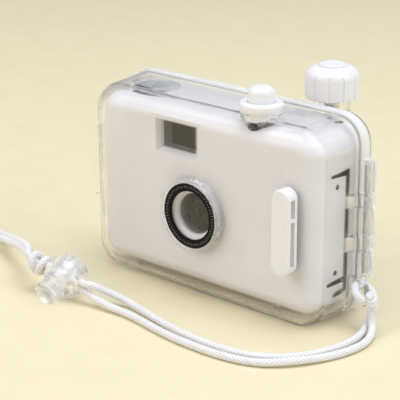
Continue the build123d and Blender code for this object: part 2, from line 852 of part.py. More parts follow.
# Camera front cover: the front and the top housing in one moulding
finder_hole = (finder_glass_width - 2 * finder_wall, finder_glass_height - 2 * finder_wall)
eyepiece_width = 11.8
eyepiece_height = 7.4
with BuildPart() as camera_front_cover:
    add(camera_block(0))
    add(camera_block(camera_wall), mode=Mode.SUBTRACT)
    with BuildSketch(Plane.XY.offset(deck_low)):
        with Locations((0, (cover_back + camera_back - 1) / 2)):
            Rectangle(2 * (camera_half - 1), camera_back - 1 - cover_back)
    extrude(amount=deck_thick)
    add(
        block((-camera_half - 1, camera_half + 1), (cover_back, camera_back + 1), (0, deck_low)),
        mode=Mode.SUBTRACT,
    )
    # Viewfinder frame with its tapered recess
    add(block(
        (finder_frame_left, finder_frame_right),
        (camera_front, finder_frame_back),
        (finder_frame_low, finder_frame_top),
    ))
    frame_x = (finder_frame_left + finder_frame_right) / 2
    frame_z = (finder_frame_low + finder_frame_top) / 2
    with BuildSketch(at_depth(camera_front)):
        with Locations((frame_x, frame_z)):
            Rectangle(
                finder_frame_right - finder_frame_left - 2 * finder_rim,
                finder_frame_top - finder_frame_low - 2 * finder_rim,
            )
    with BuildSketch(at_depth(finder_frame_back - 0.5)):
        with Locations((finder_x, finder_z)):
            Rectangle(*finder_hole)
    loft(ruled=True, mode=Mode.SUBTRACT)
    with BuildSketch(at_depth(finder_frame_back + 1)):
        with Locations((finder_x, finder_z)):
            Rectangle(*finder_hole)
    extrude(amount=2, mode=Mode.SUBTRACT)
    # Eyepiece opening in the rear wall of the top housing
    with BuildSketch(at_depth(camera_back + 1)):
        with Locations((finder_x, finder_rear_z)):
            Rectangle(eyepiece_width - finder_rim, eyepiece_height - finder_rim)
    extrude(amount=camera_wall + 2, mode=Mode.SUBTRACT)
    with BuildSketch(at_depth(camera_back - 0.6)):
        with Locations((finder_x, finder_rear_z)):
            Rectangle(eyepiece_width, eyepiece_height)
    extrude(amount=camera_wall, mode=Mode.SUBTRACT)
    # Lens hole
    add(
        lens_disc(bezel_radius + slide_gap, -camera_front - camera_wall - 1, -camera_front + 1),
        mode=Mode.SUBTRACT,
    )
    # Shutter button hole
    add(
        rod(plunger_x, plunger_y, camera_top - 6, camera_top + 1, button_radius + door_gap),
        mode=Mode.SUBTRACT,
    )
    # Rewind well
    add(rod(rewind_x, rewind_y, rewind_well, camera_top, rewind_radius + camera_wall))
    add(rod(rewind_x, rewind_y, rewind_low - 0.2, camera_top + 1, rewind_radius + 0.3), mode=Mode.SUBTRACT)
    add(rod(rewind_x, rewind_y, deck_low - 1, camera_top, rewind_shaft + running_gap), mode=Mode.SUBTRACT)
    # Seat of the winding cover, pin of the counter dial and hole of the counter window
    winding_low = camera_top - winding_depth
    add(rod(spool_x, spool_y, winding_low, camera_top + 1, winding_radius + door_gap), mode=Mode.SUBTRACT)
    add(rod(counter_x, counter_y, counter_low - 0.5, camera_top - camera_wall / 2, counter_pin))
    add(
        rod(window_x, window_y, camera_top - 4, camera_top + 1, window_radius + seat_gap),
        mode=Mode.SUBTRACT,
    )
    # Deck holes for the spool and the sprocket shaft
    add(rod(spool_x, spool_y, deck_low - 1, deck_low + 3, spool_shaft + slide_gap), mode=Mode.SUBTRACT)
    add(
        rod(sprocket_x, sprocket_y, deck_low - 1, deck_low + 3, sprocket_shaft + slide_gap),
        mode=Mode.SUBTRACT,
    )
    # Slot in the rear wall where the thumbwheel shows
    slot_half = 8.0
    add(
        block(
            (spool_x - slot_half, spool_x + slot_half),
            (camera_back - camera_wall - 1, camera_back + 1),
            (wheel_low - 0.6, wheel_top + 0.6),
        ),
        mode=Mode.SUBTRACT,
    )
    # Dark seam lines on the right side, cut through the wall
    side_x = (camera_half - camera_wall - 1, camera_half + 1)
    slot_back = slot_y + slot_width
    seams = [
        ((slot_y, slot_back - seat_gap), (slot_low, slot_top)),
        ((slot_reach, slot_y + 0.1), (slot_top - slot_width, slot_top)),
        ((slot_reach, slot_y + 0.1), (slot_low + 5, slot_low + 5 + slot_width)),
        ((slot_reach + 4, slot_y + 0.1), (slot_low, slot_low + slot_width)),
    ]
    for seam_y, seam_z in seams:
        add(block(side_x, seam_y, seam_z), mode=Mode.SUBTRACT)
    # Screw holes in the right side
    with BuildSketch(Plane.YZ.offset(side_x[1])):
        with Locations(*[(screw_y, z) for z in screw_places]):
            Circle(screw_head + seat_gap)
    extrude(amount=-camera_wall - 2, mode=Mode.SUBTRACT)
    # Hole of the rewind release in the bottom
    add(rod(release_x, release_y, 0, camera_low + 3, release_radius + slide_gap), mode=Mode.SUBTRACT)
camera_front_cover.part.label = "camera_front_cover"
export_step(camera_front_cover.part, "parts/camera_front_cover.step")

# Back frame of the camera: a U round the film door
with BuildPart() as camera_back_frame:
    add(camera_block(0))
    limits = block((-camera_half, camera_half), (frame_front, frame_back), (0, deck_low - joint_line))
    add(limits, mode=Mode.INTERSECT)
    with BuildSketch(at_depth(frame_back + 1)):
        front_frame(
            camera_half - frame_wall, camera_low + frame_wall,
            deck_low + frame_past,
            camera_corner - frame_wall,
        )
    extrude(amount=frame_back - frame_front + 2, mode=Mode.SUBTRACT)
    # Ears that hold the pin of the film door
    ears = ((camera_low + 3.5, door_barrel_low - 0.2), (door_barrel_top + 0.2, deck_low - 0.2))
    for ear_low, ear_top in ears:
        ear_radius = door_barrel - 0.2
        add(rod(door_hinge_x, door_hinge_y, ear_low, ear_top, ear_radius))
        ear = [
            (door_hinge_x - ear_radius, door_hinge_y),
            (camera_half - frame_wall, frame_back),
            (camera_half - 0.3, frame_back - 1),
            (door_hinge_x + ear_radius, door_hinge_y),
        ]
        add(plan_slab(ear, ear_low, ear_top))
    add(rod(door_hinge_x, door_hinge_y, 0, deck_low, door_pin_radius), mode=Mode.SUBTRACT)
    # Slot for the door latch
    add(
        block(
            (-camera_half - 1, -camera_half + frame_wall + 1),
            (-2.2, 1.2),
            (door_latch_low + 1.5, door_latch_top - 1.5 + door_latch_travel),
        ),
        mode=Mode.SUBTRACT,
    )
camera_back_frame.part.label = "camera_back_frame"
export_step(camera_back_frame.part, "parts/camera_back_frame.step")

# Chassis: two film chambers, the light cone between them and the film rails
pocket_half_x = housing_half_x + pocket_gap
pocket_half_z = housing_half_z + pocket_gap
with BuildPart() as camera_chassis:
    with BuildSketch(at_depth(frame_back)) as outline:
        with Locations((0, (chassis_low + chassis_top) / 2)):
            Rectangle(2 * chassis_half, chassis_top - chassis_low)
        fillet(outline.vertices().group_by(Axis.Y)[0], chassis_corner)
        fillet(outline.vertices().group_by(Axis.Y)[-1], chassis_top_corner)
    extrude(amount=frame_back - chassis_front)
    fillet(camera_chassis.faces().sort_by(Axis.Y)[0].edges(), chassis_round)
    for chamber_x, chamber_y, radius in (
        (rewind_x, rewind_y, cartridge_radius),
        (spool_x, spool_y, takeup_radius),
    ):
        with BuildSketch(Plane.XY.offset(chamber_low)):
            with Locations((chamber_x, chamber_y)):
                Circle(radius)
            with Locations((chamber_x, frame_back)):
                Rectangle(2 * radius, 2 * (frame_back - chamber_y))
        extrude(amount=chamber_top - chamber_low, mode=Mode.SUBTRACT)
    # Pocket for the shutter and the light cone behind it
    add(
        block(
            (lens_x - pocket_half_x, lens_x + pocket_half_x),
            (chassis_front - 1, cone_front),
            (lens_z - pocket_half_z, lens_z + pocket_half_z),
        ),
        mode=Mode.SUBTRACT,
    )
    for cone_y, width, height in (
        (cone_front - 0.01, cone_width, cone_height),
        (frame_back, gate_width, gate_height),
    ):
        with BuildSketch(at_depth(cone_y)):
            with Locations((lens_x, lens_z)):
                Rectangle(width, height)
    loft(ruled=True, mode=Mode.SUBTRACT)
    # Film rails above and below the gate
    for side in (-1, 1):
        rail_z = lens_z + side * rail_offset
        add(block(
            (lens_x - rail_length / 2, sprocket_x - sprocket_pocket - 1),
            (frame_back - 1, frame_back + rail_height),
            (rail_z - rail_width / 2, rail_z + rail_width / 2),
        ))
    # Sprocket pocket and bearing
    add(
        rod(sprocket_x, sprocket_y, sprocket_low - 0.6, sprocket_top + 0.6, sprocket_pocket),
        mode=Mode.SUBTRACT,
    )
    sprocket_hole = sprocket_shaft + running_gap
    add(rod(sprocket_x, sprocket_y, sprocket_low - 3, chassis_top + 1, sprocket_hole), mode=Mode.SUBTRACT)
    # Bearings of the spool and the rewind shaft, guide of the shutter button
    add(
        rod(spool_x, spool_y, chamber_top - 1, chassis_top + 1, spool_shaft + running_gap),
        mode=Mode.SUBTRACT,
    )
    add(
        rod(spool_x, spool_y, chamber_low - 2, chamber_low + 1, spool_pivot + running_gap),
        mode=Mode.SUBTRACT,
    )
    add(
        rod(rewind_x, rewind_y, chamber_top - 1, chassis_top + 1, rewind_shaft + running_gap),
        mode=Mode.SUBTRACT,
    )
    button_hole_low = button_stem_low - plunger_travel - 0.6
    add(
        rod(plunger_x, plunger_y, button_hole_low, chassis_top + 1, button_stem + running_gap),
        mode=Mode.SUBTRACT,
    )
    # Pin hole of the shutter blade
    with BuildSketch(at_depth(cone_front - 1)):
        with Locations((lens_x + blade_pin_x, lens_z + blade_pin_z)):
            Circle(blade_pin_radius)
    extrude(amount=-2.6, mode=Mode.SUBTRACT)
    # Notch for the viewfinder tube
    notch_half = finder_glass_width / 2 + 0.5
    add(
        block(
            (finder_x - notch_half, finder_x + notch_half),
            (chassis_front - 1, chassis_front + 7.4),
            (finder_z - finder_glass_height / 2 - 0.45, chassis_top + 1),
        ),
        mode=Mode.SUBTRACT,
    )
    # Pocket of the rewind release and holes of the side screws
    add(rod(release_x, release_y, 0, chamber_low, release_radius + 0.4), mode=Mode.SUBTRACT)
    with BuildSketch(Plane.YZ.offset(chassis_half + 1)):
        with Locations(*[(screw_y, z) for z in screw_places]):
            Circle(screw_shank)
    extrude(amount=-6, mode=Mode.SUBTRACT)
camera_chassis.part.label = "camera_chassis"
export_step(camera_chassis.part, "parts/camera_chassis.step")

# Lens: bezel, front glass, barrel, aperture plate and rear glass
with BuildPart() as lens_bezel:
    flange_front = -camera_front - camera_wall
    add(lens_turned([
        (bezel_bore, flange_front - 1.2),
        (bezel_flange, flange_front - 1.2),
        (bezel_flange, flange_front),
        (bezel_radius, flange_front),
        (bezel_radius, bezel_front - 0.6),
        (bezel_radius - 0.6, bezel_front),
        (bezel_cone_radius, bezel_front),
        (bezel_bore, bezel_front - bezel_cone_depth),
    ]))
lens_bezel.part.label = "lens_bezel"
export_step(lens_bezel.part, "parts/lens_bezel.step")

with BuildPart() as front_lens:
    with BuildSketch(Plane(origin=(lens_x, 0, lens_z), x_dir=(1, 0, 0), z_dir=(0, 0, -1))):
        with Locations((0, glass_front - glass_ball)):
            Circle(glass_ball)
        with Locations((glass_radius / 2, (glass_front + glass_back) / 2)):
            Rectangle(glass_radius, glass_front - glass_back, mode=Mode.INTERSECT)
    revolve(axis=Axis((lens_x, 0, lens_z), (0, -1, 0)))
front_lens.part.label = "front_lens"
export_step(front_lens.part, "parts/front_lens.step")

with BuildPart() as lens_barrel:
    barrel_front = glass_back - 0.1
    add(lens_turned([
        (barrel_bore, barrel_back),
        (barrel_outer, barrel_back),
        (barrel_outer, barrel_front),
        (barrel_outer - 1, barrel_front),
        (barrel_bore, barrel_front - 4),
    ]))
lens_barrel.part.label = "lens_barrel"
export_step(lens_barrel.part, "parts/lens_barrel.step")

with BuildPart() as aperture_plate:
    add(lens_turned([
        (stop_radius, barrel_back + 0.3),
        (barrel_bore - seat_gap, barrel_back + 0.3),
        (barrel_bore - seat_gap, barrel_back + 0.9),
        (stop_radius, barrel_back + 0.9),
    ]))
aperture_plate.part.label = "aperture_plate"
export_step(aperture_plate.part, "parts/aperture_plate.step")

with BuildPart() as rear_lens:
    add(lens_turned([
        (0, barrel_back + 1.5),
        (2.6, barrel_back + 1.1),
        (barrel_bore - seat_gap, barrel_back + 0.95),
        (barrel_bore - seat_gap, barrel_back + 2.6),
        (0, barrel_back + 3.4),
    ]))
rear_lens.part.label = "rear_lens"
export_step(rear_lens.part, "parts/rear_lens.step")

# Shutter: housing, one swinging blade and its pin
with BuildPart() as shutter_housing:
    with BuildSketch(at_depth(housing_back)):
        with Locations((lens_x, lens_z)):
            RectangleRounded(2 * housing_half_x, 2 * housing_half_z, 2)
            Circle(barrel_outer + seat_gap, mode=Mode.SUBTRACT)
    extrude(amount=housing_back - chassis_front)
shutter_housing.part.label = "shutter_housing"
export_step(shutter_housing.part, "parts/shutter_housing.step")

with BuildPart() as shutter_blade:
    with BuildSketch(at_depth(blade_y + blade_thick)):
        with Locations((lens_x, lens_z)):
            Circle(blade_radius)
        with Locations((lens_x + blade_pin_x, lens_z + blade_pin_z)):
            Circle(2.2)
        with BuildLine():
            Polyline(
                (lens_x + 1, lens_z + 4.8),
                (lens_x + blade_pin_x - 1, lens_z + blade_pin_z + 1.8),
                (lens_x + blade_pin_x + 1.2, lens_z + blade_pin_z - 1.8),
                (lens_x + 4.2, lens_z - 1.4),
                close=True,
            )
        make_face()
        with Locations((lens_x + blade_pin_x, lens_z + blade_pin_z)):
            Circle(blade_pin_radius + running_gap, mode=Mode.SUBTRACT)
    extrude(amount=blade_thick)
shutter_blade.part.label = "shutter_blade"
export_step(shutter_blade.part, "parts/shutter_blade.step")

with BuildPart() as blade_pin:
    with BuildSketch(at_depth(cone_front + 1.5)):
        with Locations((lens_x + blade_pin_x, lens_z + blade_pin_z)):
            Circle(blade_pin_radius)
    extrude(amount=cone_front + 1.5 - housing_back - 0.05)
blade_pin.part.label = "blade_pin"
export_step(blade_pin.part, "parts/blade_pin.step")

# Viewfinder: front window, funnel and eyepiece
with BuildPart() as viewfinder_front_lens:
    with BuildSketch(at_depth(finder_frame_back + 1)):
        with Locations((finder_x, finder_z)):
            RectangleRounded(finder_glass_width, finder_glass_height, 0.6)
    extrude(amount=1)
viewfinder_front_lens.part.label = "viewfinder_front_lens"
export_step(viewfinder_front_lens.part, "parts/viewfinder_front_lens.step")

finder_start = finder_frame_back + 1
finder_waist = finder_start + 6.3
finder_end = camera_back - camera_wall - 0.1
with BuildPart() as viewfinder_tube:
    for inset, mode in ((0, Mode.ADD), (finder_wall, Mode.SUBTRACT)):
        sections = (
            (finder_start, finder_z, finder_glass_width + 0.2, finder_glass_height + 0.2),
            (finder_waist, finder_rear_z, finder_tube_width, finder_tube_height),
        )
        for section_y, section_z, width, height in sections:
            with BuildSketch(at_depth(section_y)):
                with Locations((finder_x, section_z)):
                    Rectangle(width - 2 * inset, height - 2 * inset)
        loft(ruled=True, mode=mode)
        with BuildSketch(at_depth(finder_end)):
            with Locations((finder_x, finder_rear_z)):
                Rectangle(finder_tube_width - 2 * inset, finder_tube_height - 2 * inset)
        extrude(amount=finder_end - finder_waist, mode=mode)
viewfinder_tube.part.label = "viewfinder_tube"
export_step(viewfinder_tube.part, "parts/viewfinder_tube.step")

with BuildPart() as viewfinder_eyepiece:
    with BuildSketch(at_depth(camera_back - 0.6)):
        with Locations((finder_x, finder_rear_z)):
            RectangleRounded(eyepiece_width - 0.2, eyepiece_height - 0.2, 0.5)
    extrude(amount=camera_wall - 0.6)
viewfinder_eyepiece.part.label = "viewfinder_eyepiece"
export_step(viewfinder_eyepiece.part, "parts/viewfinder_eyepiece.step")

# Discs on the camera's top
with BuildPart() as winding_cover:
    add(rod(spool_x, spool_y, camera_top - winding_depth, camera_top + winding_proud, winding_radius))
    chamfer(winding_cover.edges().filter_by(GeomType.CIRCLE).sort_by(Axis.Z)[-1], 0.15)
winding_cover.part.label = "winding_cover"
export_step(winding_cover.part, "parts/winding_cover.step")

with BuildPart() as counter_window:
    add(rod(window_x, window_y, camera_top - camera_wall + 0.2, camera_top + 0.3, window_radius))
    fillet(counter_window.edges().filter_by(GeomType.CIRCLE).sort_by(Axis.Z)[-1], 0.25)
counter_window.part.label = "counter_window"
export_step(counter_window.part, "parts/counter_window.step")

with BuildPart() as counter_dial:
    with BuildSketch(Plane.XY.offset(counter_low)):
        with Locations((counter_x, counter_y)):
            Circle(counter_radius)
            Circle(counter_pin + running_gap, mode=Mode.SUBTRACT)
    extrude(amount=counter_thick)
counter_dial.part.label = "counter_dial"
export_step(counter_dial.part, "parts/counter_dial.step")

# Two dark screws in the right side
with BuildPart() as side_screws:
    with BuildSketch(Plane.YZ.offset(camera_half - 0.2)):
        with Locations(*[(screw_y, z) for z in screw_places]):
            Circle(screw_head)
    extrude(amount=-(camera_half - 0.2 - chassis_half))
    with BuildSketch(Plane.YZ.offset(chassis_half)):
        with Locations(*[(screw_y, z) for z in screw_places]):
            Circle(screw_shank)
    extrude(amount=-4)
side_screws.part.label = "side_screws"
export_step(side_screws.part, "parts/side_screws.step")

# Film transport: thumbwheel, take-up spool and sprocket
with BuildPart() as thumbwheel:
    with BuildSketch(Plane.XY.offset(wheel_low)):
        with Locations((spool_x, spool_y)):
            Circle(wheel_radius)
            with PolarLocations(wheel_radius, wheel_grips):
                Circle(0.4, mode=Mode.SUBTRACT)
            Circle(spool_shaft, mode=Mode.SUBTRACT)
    extrude(amount=wheel_top - wheel_low)
    rim = turned(spool_x, spool_y, [
        (spool_shaft + 2, wheel_low + 2),
        (wheel_radius - 2.5, wheel_low + 2),
        (wheel_radius - 2.5, wheel_low - 1),
        (spool_shaft + 2, wheel_low - 1),
    ])
    add(rim, mode=Mode.SUBTRACT)
thumbwheel.part.label = "thumbwheel"
export_step(thumbwheel.part, "parts/thumbwheel.step")

spool_low = chamber_low + spool_end_gap
spool_top = chamber_top - spool_end_gap
with BuildPart() as takeup_spool:
    add(turned(spool_x, spool_y, [
        (0, chamber_low - 1.6),
        (spool_pivot, chamber_low - 1.6),
        (spool_pivot, spool_low),
        (spool_flange, spool_low),
        (spool_flange, spool_low + 1.2),
        (spool_core, spool_low + 1.8),
        (spool_core, spool_top - 1.8),
        (spool_flange, spool_top - 1.2),
        (spool_flange, spool_top),
        (spool_shaft, spool_top),
        (spool_shaft, wheel_top),
        (0, wheel_top),
    ]))
    # Slot that takes the end of the film
    slot_z = (spool_low + 4, spool_top - 4)
    add(
        block((spool_x - 0.7, spool_x + 0.7), (spool_y, spool_y + spool_core + 1), slot_z),
        mode=Mode.SUBTRACT,
    )
takeup_spool.part.label = "takeup_spool"
export_step(takeup_spool.part, "parts/takeup_spool.step")

with BuildPart() as sprocket:
    add(rod(sprocket_x, sprocket_y, sprocket_low - 2.4, deck_low + 4, sprocket_shaft))
    add(rod(sprocket_x, sprocket_y, sprocket_low, sprocket_top, sprocket_base))
    add(rod(sprocket_x, sprocket_y, deck_low + 2, deck_low + 3.5, 4))
    tooth_middle = (sprocket_low + sprocket_top) / 2
    with BuildSketch(Plane.XY.offset(tooth_middle - 0.6)):
        with Locations((sprocket_x, sprocket_y)):
            with PolarLocations(sprocket_base - 0.4, sprocket_teeth):
                with Locations(((sprocket_tip - sprocket_base + 0.4) / 2, 0)):
                    Trapezoid(1.8, sprocket_tip - sprocket_base + 0.4, 72, rotation=-90)
    extrude(amount=1.2)
sprocket.part.label = "sprocket"
export_step(sprocket.part, "parts/sprocket.step")

# Shutter button of the camera
with BuildPart() as shutter_button:
    add(rod(plunger_x, plunger_y, button_low, button_top, button_radius))
    chamfer(shutter_button.edges().filter_by(GeomType.CIRCLE).sort_by(Axis.Z)[-1], 0.3)
    add(rod(plunger_x, plunger_y, button_stem_low, button_low, button_stem))
shutter_button.part.label = "shutter_button"
export_step(shutter_button.part, "parts/shutter_button.step")

# Rewind knob with its crank folded into a slot, and the shaft with the fork
crank_place = Plane(origin=(rewind_x, rewind_y, rewind_top - crank_depth), x_dir=(1, 0, 0), z_dir=(0, 0, 1))
crank_plane = crank_place.rotated((0, 0, crank_turn))
with BuildPart() as rewind_knob:
    add(rod(rewind_x, rewind_y, rewind_low, rewind_top, rewind_radius))
    chamfer(rewind_knob.edges().filter_by(GeomType.CIRCLE).sort_by(Axis.Z)[-1], 0.4)
    with BuildSketch(crank_plane):
        SlotOverall(crank_length + 0.4, crank_width + 0.4)
    extrude(amount=crank_depth + 1, mode=Mode.SUBTRACT)
rewind_knob.part.label = "rewind_knob"
export_step(rewind_knob.part, "parts/rewind_knob.step")

with BuildPart() as rewind_crank:
    with BuildSketch(crank_plane):
        SlotOverall(crank_length, crank_width)
    extrude(amount=crank_depth - 0.4)
    with BuildSketch(crank_plane):
        with Locations((crank_length / 2 - crank_width / 2, 0)):
            Circle(crank_width / 2)
    extrude(amount=crank_depth + 0.2)
rewind_crank.part.label = "rewind_crank"
export_step(rewind_crank.part, "parts/rewind_crank.step")

with BuildPart() as rewind_fork:
    add(rod(rewind_x, rewind_y, fork_top, rewind_low, rewind_shaft))
    add(rod(rewind_x, rewind_y, fork_low, fork_top, fork_radius))
    fork_z = (fork_low - 1, fork_top - 0.9)
    add(block((rewind_x - 4, rewind_x + 4), (rewind_y - 1.2, rewind_y + 1.2), fork_z), mode=Mode.SUBTRACT)
rewind_fork.part.label = "rewind_fork"
export_step(rewind_fork.part, "parts/rewind_fork.step")

with BuildPart() as rewind_release:
    add(rod(release_x, release_y, release_low, release_top, release_radius))
    chamfer(rewind_release.edges().filter_by(GeomType.CIRCLE).sort_by(Axis.Z)[0], 0.3)
rewind_release.part.label = "rewind_release"
export_step(rewind_release.part, "parts/rewind_release.step")

# Film door with its pin, pressure plate and plate spring
with BuildPart() as film_door:
    add(camera_block(0))
    limits = block((-camera_half, door_hinge_x), (door_front, camera_back), (0, door_top))
    add(limits, mode=Mode.INTERSECT)
    for ear_z in ((0, door_barrel_low), (door_barrel_top, door_top + 1)):
        cut = block((door_hinge_x - door_barrel - door_gap, camera_half), (0, camera_back + 1), ear_z)
        add(cut, mode=Mode.SUBTRACT)
    with BuildPart(mode=Mode.PRIVATE) as hollow:
        with BuildSketch(at_depth(door_inner)):
            front_frame(
                camera_half - frame_wall, camera_low + frame_wall,
                deck_low + frame_past,
                camera_corner - frame_wall,
            )
        extrude(amount=door_inner - door_front + 1)
        reach = (-camera_half, door_hinge_x - door_barrel - frame_wall)
        add(block(reach, (0, camera_back), (0, door_top - 1.6)), mode=Mode.INTERSECT)
    add(hollow.part, mode=Mode.SUBTRACT)
    add(rod(door_hinge_x, door_hinge_y, door_barrel_low, door_barrel_top, door_barrel))
    pin_hole = door_pin_radius + running_gap
    add(rod(door_hinge_x, door_hinge_y, 0, door_top, pin_hole), mode=Mode.SUBTRACT)
film_door.part.label = "film_door"
export_step(film_door.part, "parts/film_door.step")

with BuildPart() as door_hinge_pin:
    add(rod(door_hinge_x, door_hinge_y, door_pin_low, door_pin_top, door_pin_radius))
door_hinge_pin.part.label = "door_hinge_pin"
export_step(door_hinge_pin.part, "parts/door_hinge_pin.step")

with BuildPart() as pressure_plate:
    with BuildSketch(at_depth(plate_front + plate_thick)):
        with Locations((lens_x + 0.3, lens_z)):
            RectangleRounded(2 * plate_half, 2 * plate_half_height, 2)
    extrude(amount=plate_thick)
pressure_plate.part.label = "pressure_plate"
export_step(pressure_plate.part, "parts/pressure_plate.step")

with BuildPart() as pressure_spring:
    strip_low = plate_front + plate_thick
    rise = door_inner - strip_low - plate_spring
    with BuildSketch(Plane.XY.offset(lens_z - 4)):
        with BuildLine():
            outer = ThreePointArc(
                (lens_x - 14, strip_low + plate_spring),
                (lens_x, strip_low + plate_spring + rise),
                (lens_x + 14, strip_low + plate_spring),
            )
            Line(outer @ 1, (lens_x + 14, strip_low))
            inner_arc = ThreePointArc(
                (lens_x + 14, strip_low),
                (lens_x, strip_low + rise),
                (lens_x - 14, strip_low),
            )
            Line(inner_arc @ 1, outer @ 0)
        make_face()
    extrude(amount=8)
pressure_spring.part.label = "pressure_spring"
export_step(pressure_spring.part, "parts/pressure_spring.step")

# Slider that holds the film door shut
with BuildPart() as door_latch:
    pad_x = (-camera_half - 1, -camera_half - seat_gap)
    add(block(pad_x, (-3, 2), (door_latch_low, door_latch_top)))
    chamfer(door_latch.edges().filter_by(Axis.Y).group_by(Axis.X)[0], 0.4)
    stem_x = (-camera_half - 0.5, -camera_half + frame_wall + 0.1)
    add(block(stem_x, (-2, 1), (door_latch_low + 2, door_latch_top - 2)))
door_latch.part.label = "door_latch"
export_step(door_latch.part, "parts/door_latch.step")

# Cord lock: a clear ball with a sprung button, both pierced for the two strands
cord_direction = (-0.976, -0.0945, 0.1952)
button_direction = (0.03, -0.95, -0.31)
toggle_plane = Plane(origin=toggle_centre, x_dir=cord_direction, z_dir=button_direction)
strand_pitch = 2 * cord_spacing


def in_toggle(along, side, out):
    """A point given along the cord, across it and towards the button."""
    return toggle_plane.from_local_coords((along, side, out))


def cord_slot(out, extra):
    """A sketch plane and sizes of the slot that the two strands pass through."""
    plane = Plane(origin=in_toggle(0, 0, out), x_dir=toggle_plane.y_dir, z_dir=toggle_plane.x_dir)
    length = strand_pitch + 2 * cord_radius + 2 * toggle_slot_gap
    return plane, length, 2 * cord_radius + 2 * toggle_slot_gap + extra


with BuildPart() as toggle_body:
    with BuildSketch(toggle_plane):
        Circle(toggle_radius)
        with Locations((0, -toggle_radius)):
            Rectangle(2 * toggle_radius, 2 * toggle_radius, mode=Mode.SUBTRACT)
    revolve(axis=Axis(toggle_centre, toggle_plane.x_dir))
    with BuildSketch(toggle_plane.offset(toggle_mouth)):
        Circle(toggle_radius)
    extrude(amount=toggle_radius, mode=Mode.SUBTRACT)
    with BuildSketch(toggle_plane.offset(toggle_floor)):
        Circle(toggle_bore)
    extrude(amount=2 * toggle_radius, mode=Mode.SUBTRACT)
    slot_plane, slot_length, slot_height = cord_slot(toggle_cord_height, 0)
    with BuildSketch(slot_plane):
        SlotOverall(slot_length, slot_height)
    extrude(amount=toggle_radius, both=True, mode=Mode.SUBTRACT)
toggle_body.part.label = "toggle_body"
export_step(toggle_body.part, "parts/toggle_body.step")

with BuildPart() as toggle_button:
    with BuildSketch(toggle_plane.offset(toggle_button_low)):
        Circle(toggle_button_radius)
    extrude(amount=toggle_button_end - toggle_button_low)
    end_edge = toggle_button.edges().filter_by(GeomType.CIRCLE).sort_by(Axis.Y)[0]
    fillet(end_edge, 1.2)
    slot_middle = toggle_cord_height + toggle_travel / 2
    slot_plane, slot_length, slot_height = cord_slot(slot_middle, toggle_travel)
    with BuildSketch(slot_plane):
        RectangleRounded(slot_length, slot_height, cord_radius)
    extrude(amount=toggle_radius, both=True, mode=Mode.SUBTRACT)
toggle_button.part.label = "toggle_button"
export_step(toggle_button.part, "parts/toggle_button.step")

with BuildPart() as toggle_spring:
    add(coil(
        in_toggle(0, 0, toggle_floor + toggle_wire),
        toggle_plane.z_dir,
        toggle_button_low - toggle_floor,
        toggle_bore - 2,
        toggle_wire,
        3.5,
    ))
toggle_spring.part.label = "toggle_spring"
export_step(toggle_spring.part, "parts/toggle_spring.step")

# Knot beside the cord lock
with BuildPart() as strap_knot:
    knot_plane = Plane(
        origin=in_toggle(knot_start, 0, toggle_cord_height),
        x_dir=toggle_plane.x_dir,
        z_dir=toggle_plane.y_dir,
    )
    with BuildSketch(knot_plane):
        with BuildLine():
            Line((0, 0), (0, knot_radius - 0.7))
            ThreePointArc(
                (0, knot_radius - 0.7),
                (knot_length * 0.28, knot_radius),
                (knot_length / 2, knot_radius - 0.6),
            )
            ThreePointArc(
                (knot_length / 2, knot_radius - 0.6),
                (knot_length * 0.72, knot_radius - 0.1),
                (knot_length, knot_radius - 0.8),
            )
            Line((knot_length, knot_radius - 0.8), (knot_length, 0))
            Line((knot_length, 0), (0, 0))
        make_face()
    revolve(axis=Axis(knot_plane.origin, knot_plane.x_dir))
strap_knot.part.label = "strap_knot"
export_step(strap_knot.part, "parts/strap_knot.step")

# Hitch that ties the strap to the lug: a ring through the lug and a wrap round the strands
with BuildPart() as strap_hitch:
    ring_across = Vector(cos(radians(hitch_lean)), 0, sin(radians(hitch_lean)))
    ring_plane = Plane(origin=hitch_centre, x_dir=ring_across, z_dir=ring_across.cross(Vector(0, 1, 0)))
    section_plane = Plane(origin=hitch_centre, x_dir=ring_across, z_dir=(0, 1, 0))
    with BuildSketch(section_plane):
        with Locations((hitch_ring, 0)):
            Circle(cord_radius)
    revolve(axis=Axis(hitch_centre, ring_plane.z_dir))
    wrap_plane = Plane(origin=(wrap_x, wrap_y, wrap_low), x_dir=(1, 0, 0), z_dir=(0, 0, 1))
    with BuildSketch(wrap_plane.rotated((0, 0, wrap_turn))):
        SlotOverall(strand_pitch + 2 * cord_radius + 0.8, 2 * cord_radius + 1.2)
    extrude(amount=wrap_top - wrap_low)
strap_hitch.part.label = "strap_hitch"
export_step(strap_hitch.part, "parts/strap_hitch.step")

# The two strands from the hitch to the knot, side by side on the ground and through the cord lock
wrap_side = Vector(cos(radians(wrap_turn)), sin(radians(wrap_turn)), 0) * cord_spacing
strand_a = [
    (wrap_x - wrap_side.X, wrap_y - wrap_side.Y, wrap_low),
    (wrap_x - wrap_side.X, wrap_y - wrap_side.Y, wrap_low - 3.4),
    (73.3, -8.6, 3.0),
    (75.0, -13.6, 1.65),
    (76.6, -20.4, 1.65),
    (76.4, -28.8, 1.65),
    (74.3, -37.2, 1.65),
    (71.2, -44.8, 1.65),
    (66.6, -51.4, 1.65),
    (60.0, -57.0, 1.65),
    (50.5, -60.7, 1.65),
    (36.5, -62.3, 1.65),
    (21.5, -61.1, 1.65),
    (7.0, -58.6, 1.65),
    (-6.0, -55.2, 1.65),
    (-14.5, -53.6, 2.1),
    (-20.2, -54.8, 3.8),
    (-24.4, -58.2, 6.4),
    (-28.8, -62.4, 9.4),
    tuple(in_toggle(-toggle_radius - 1, -cord_spacing, toggle_cord_height)),
    tuple(in_toggle(knot_start, -cord_spacing, toggle_cord_height)),
]
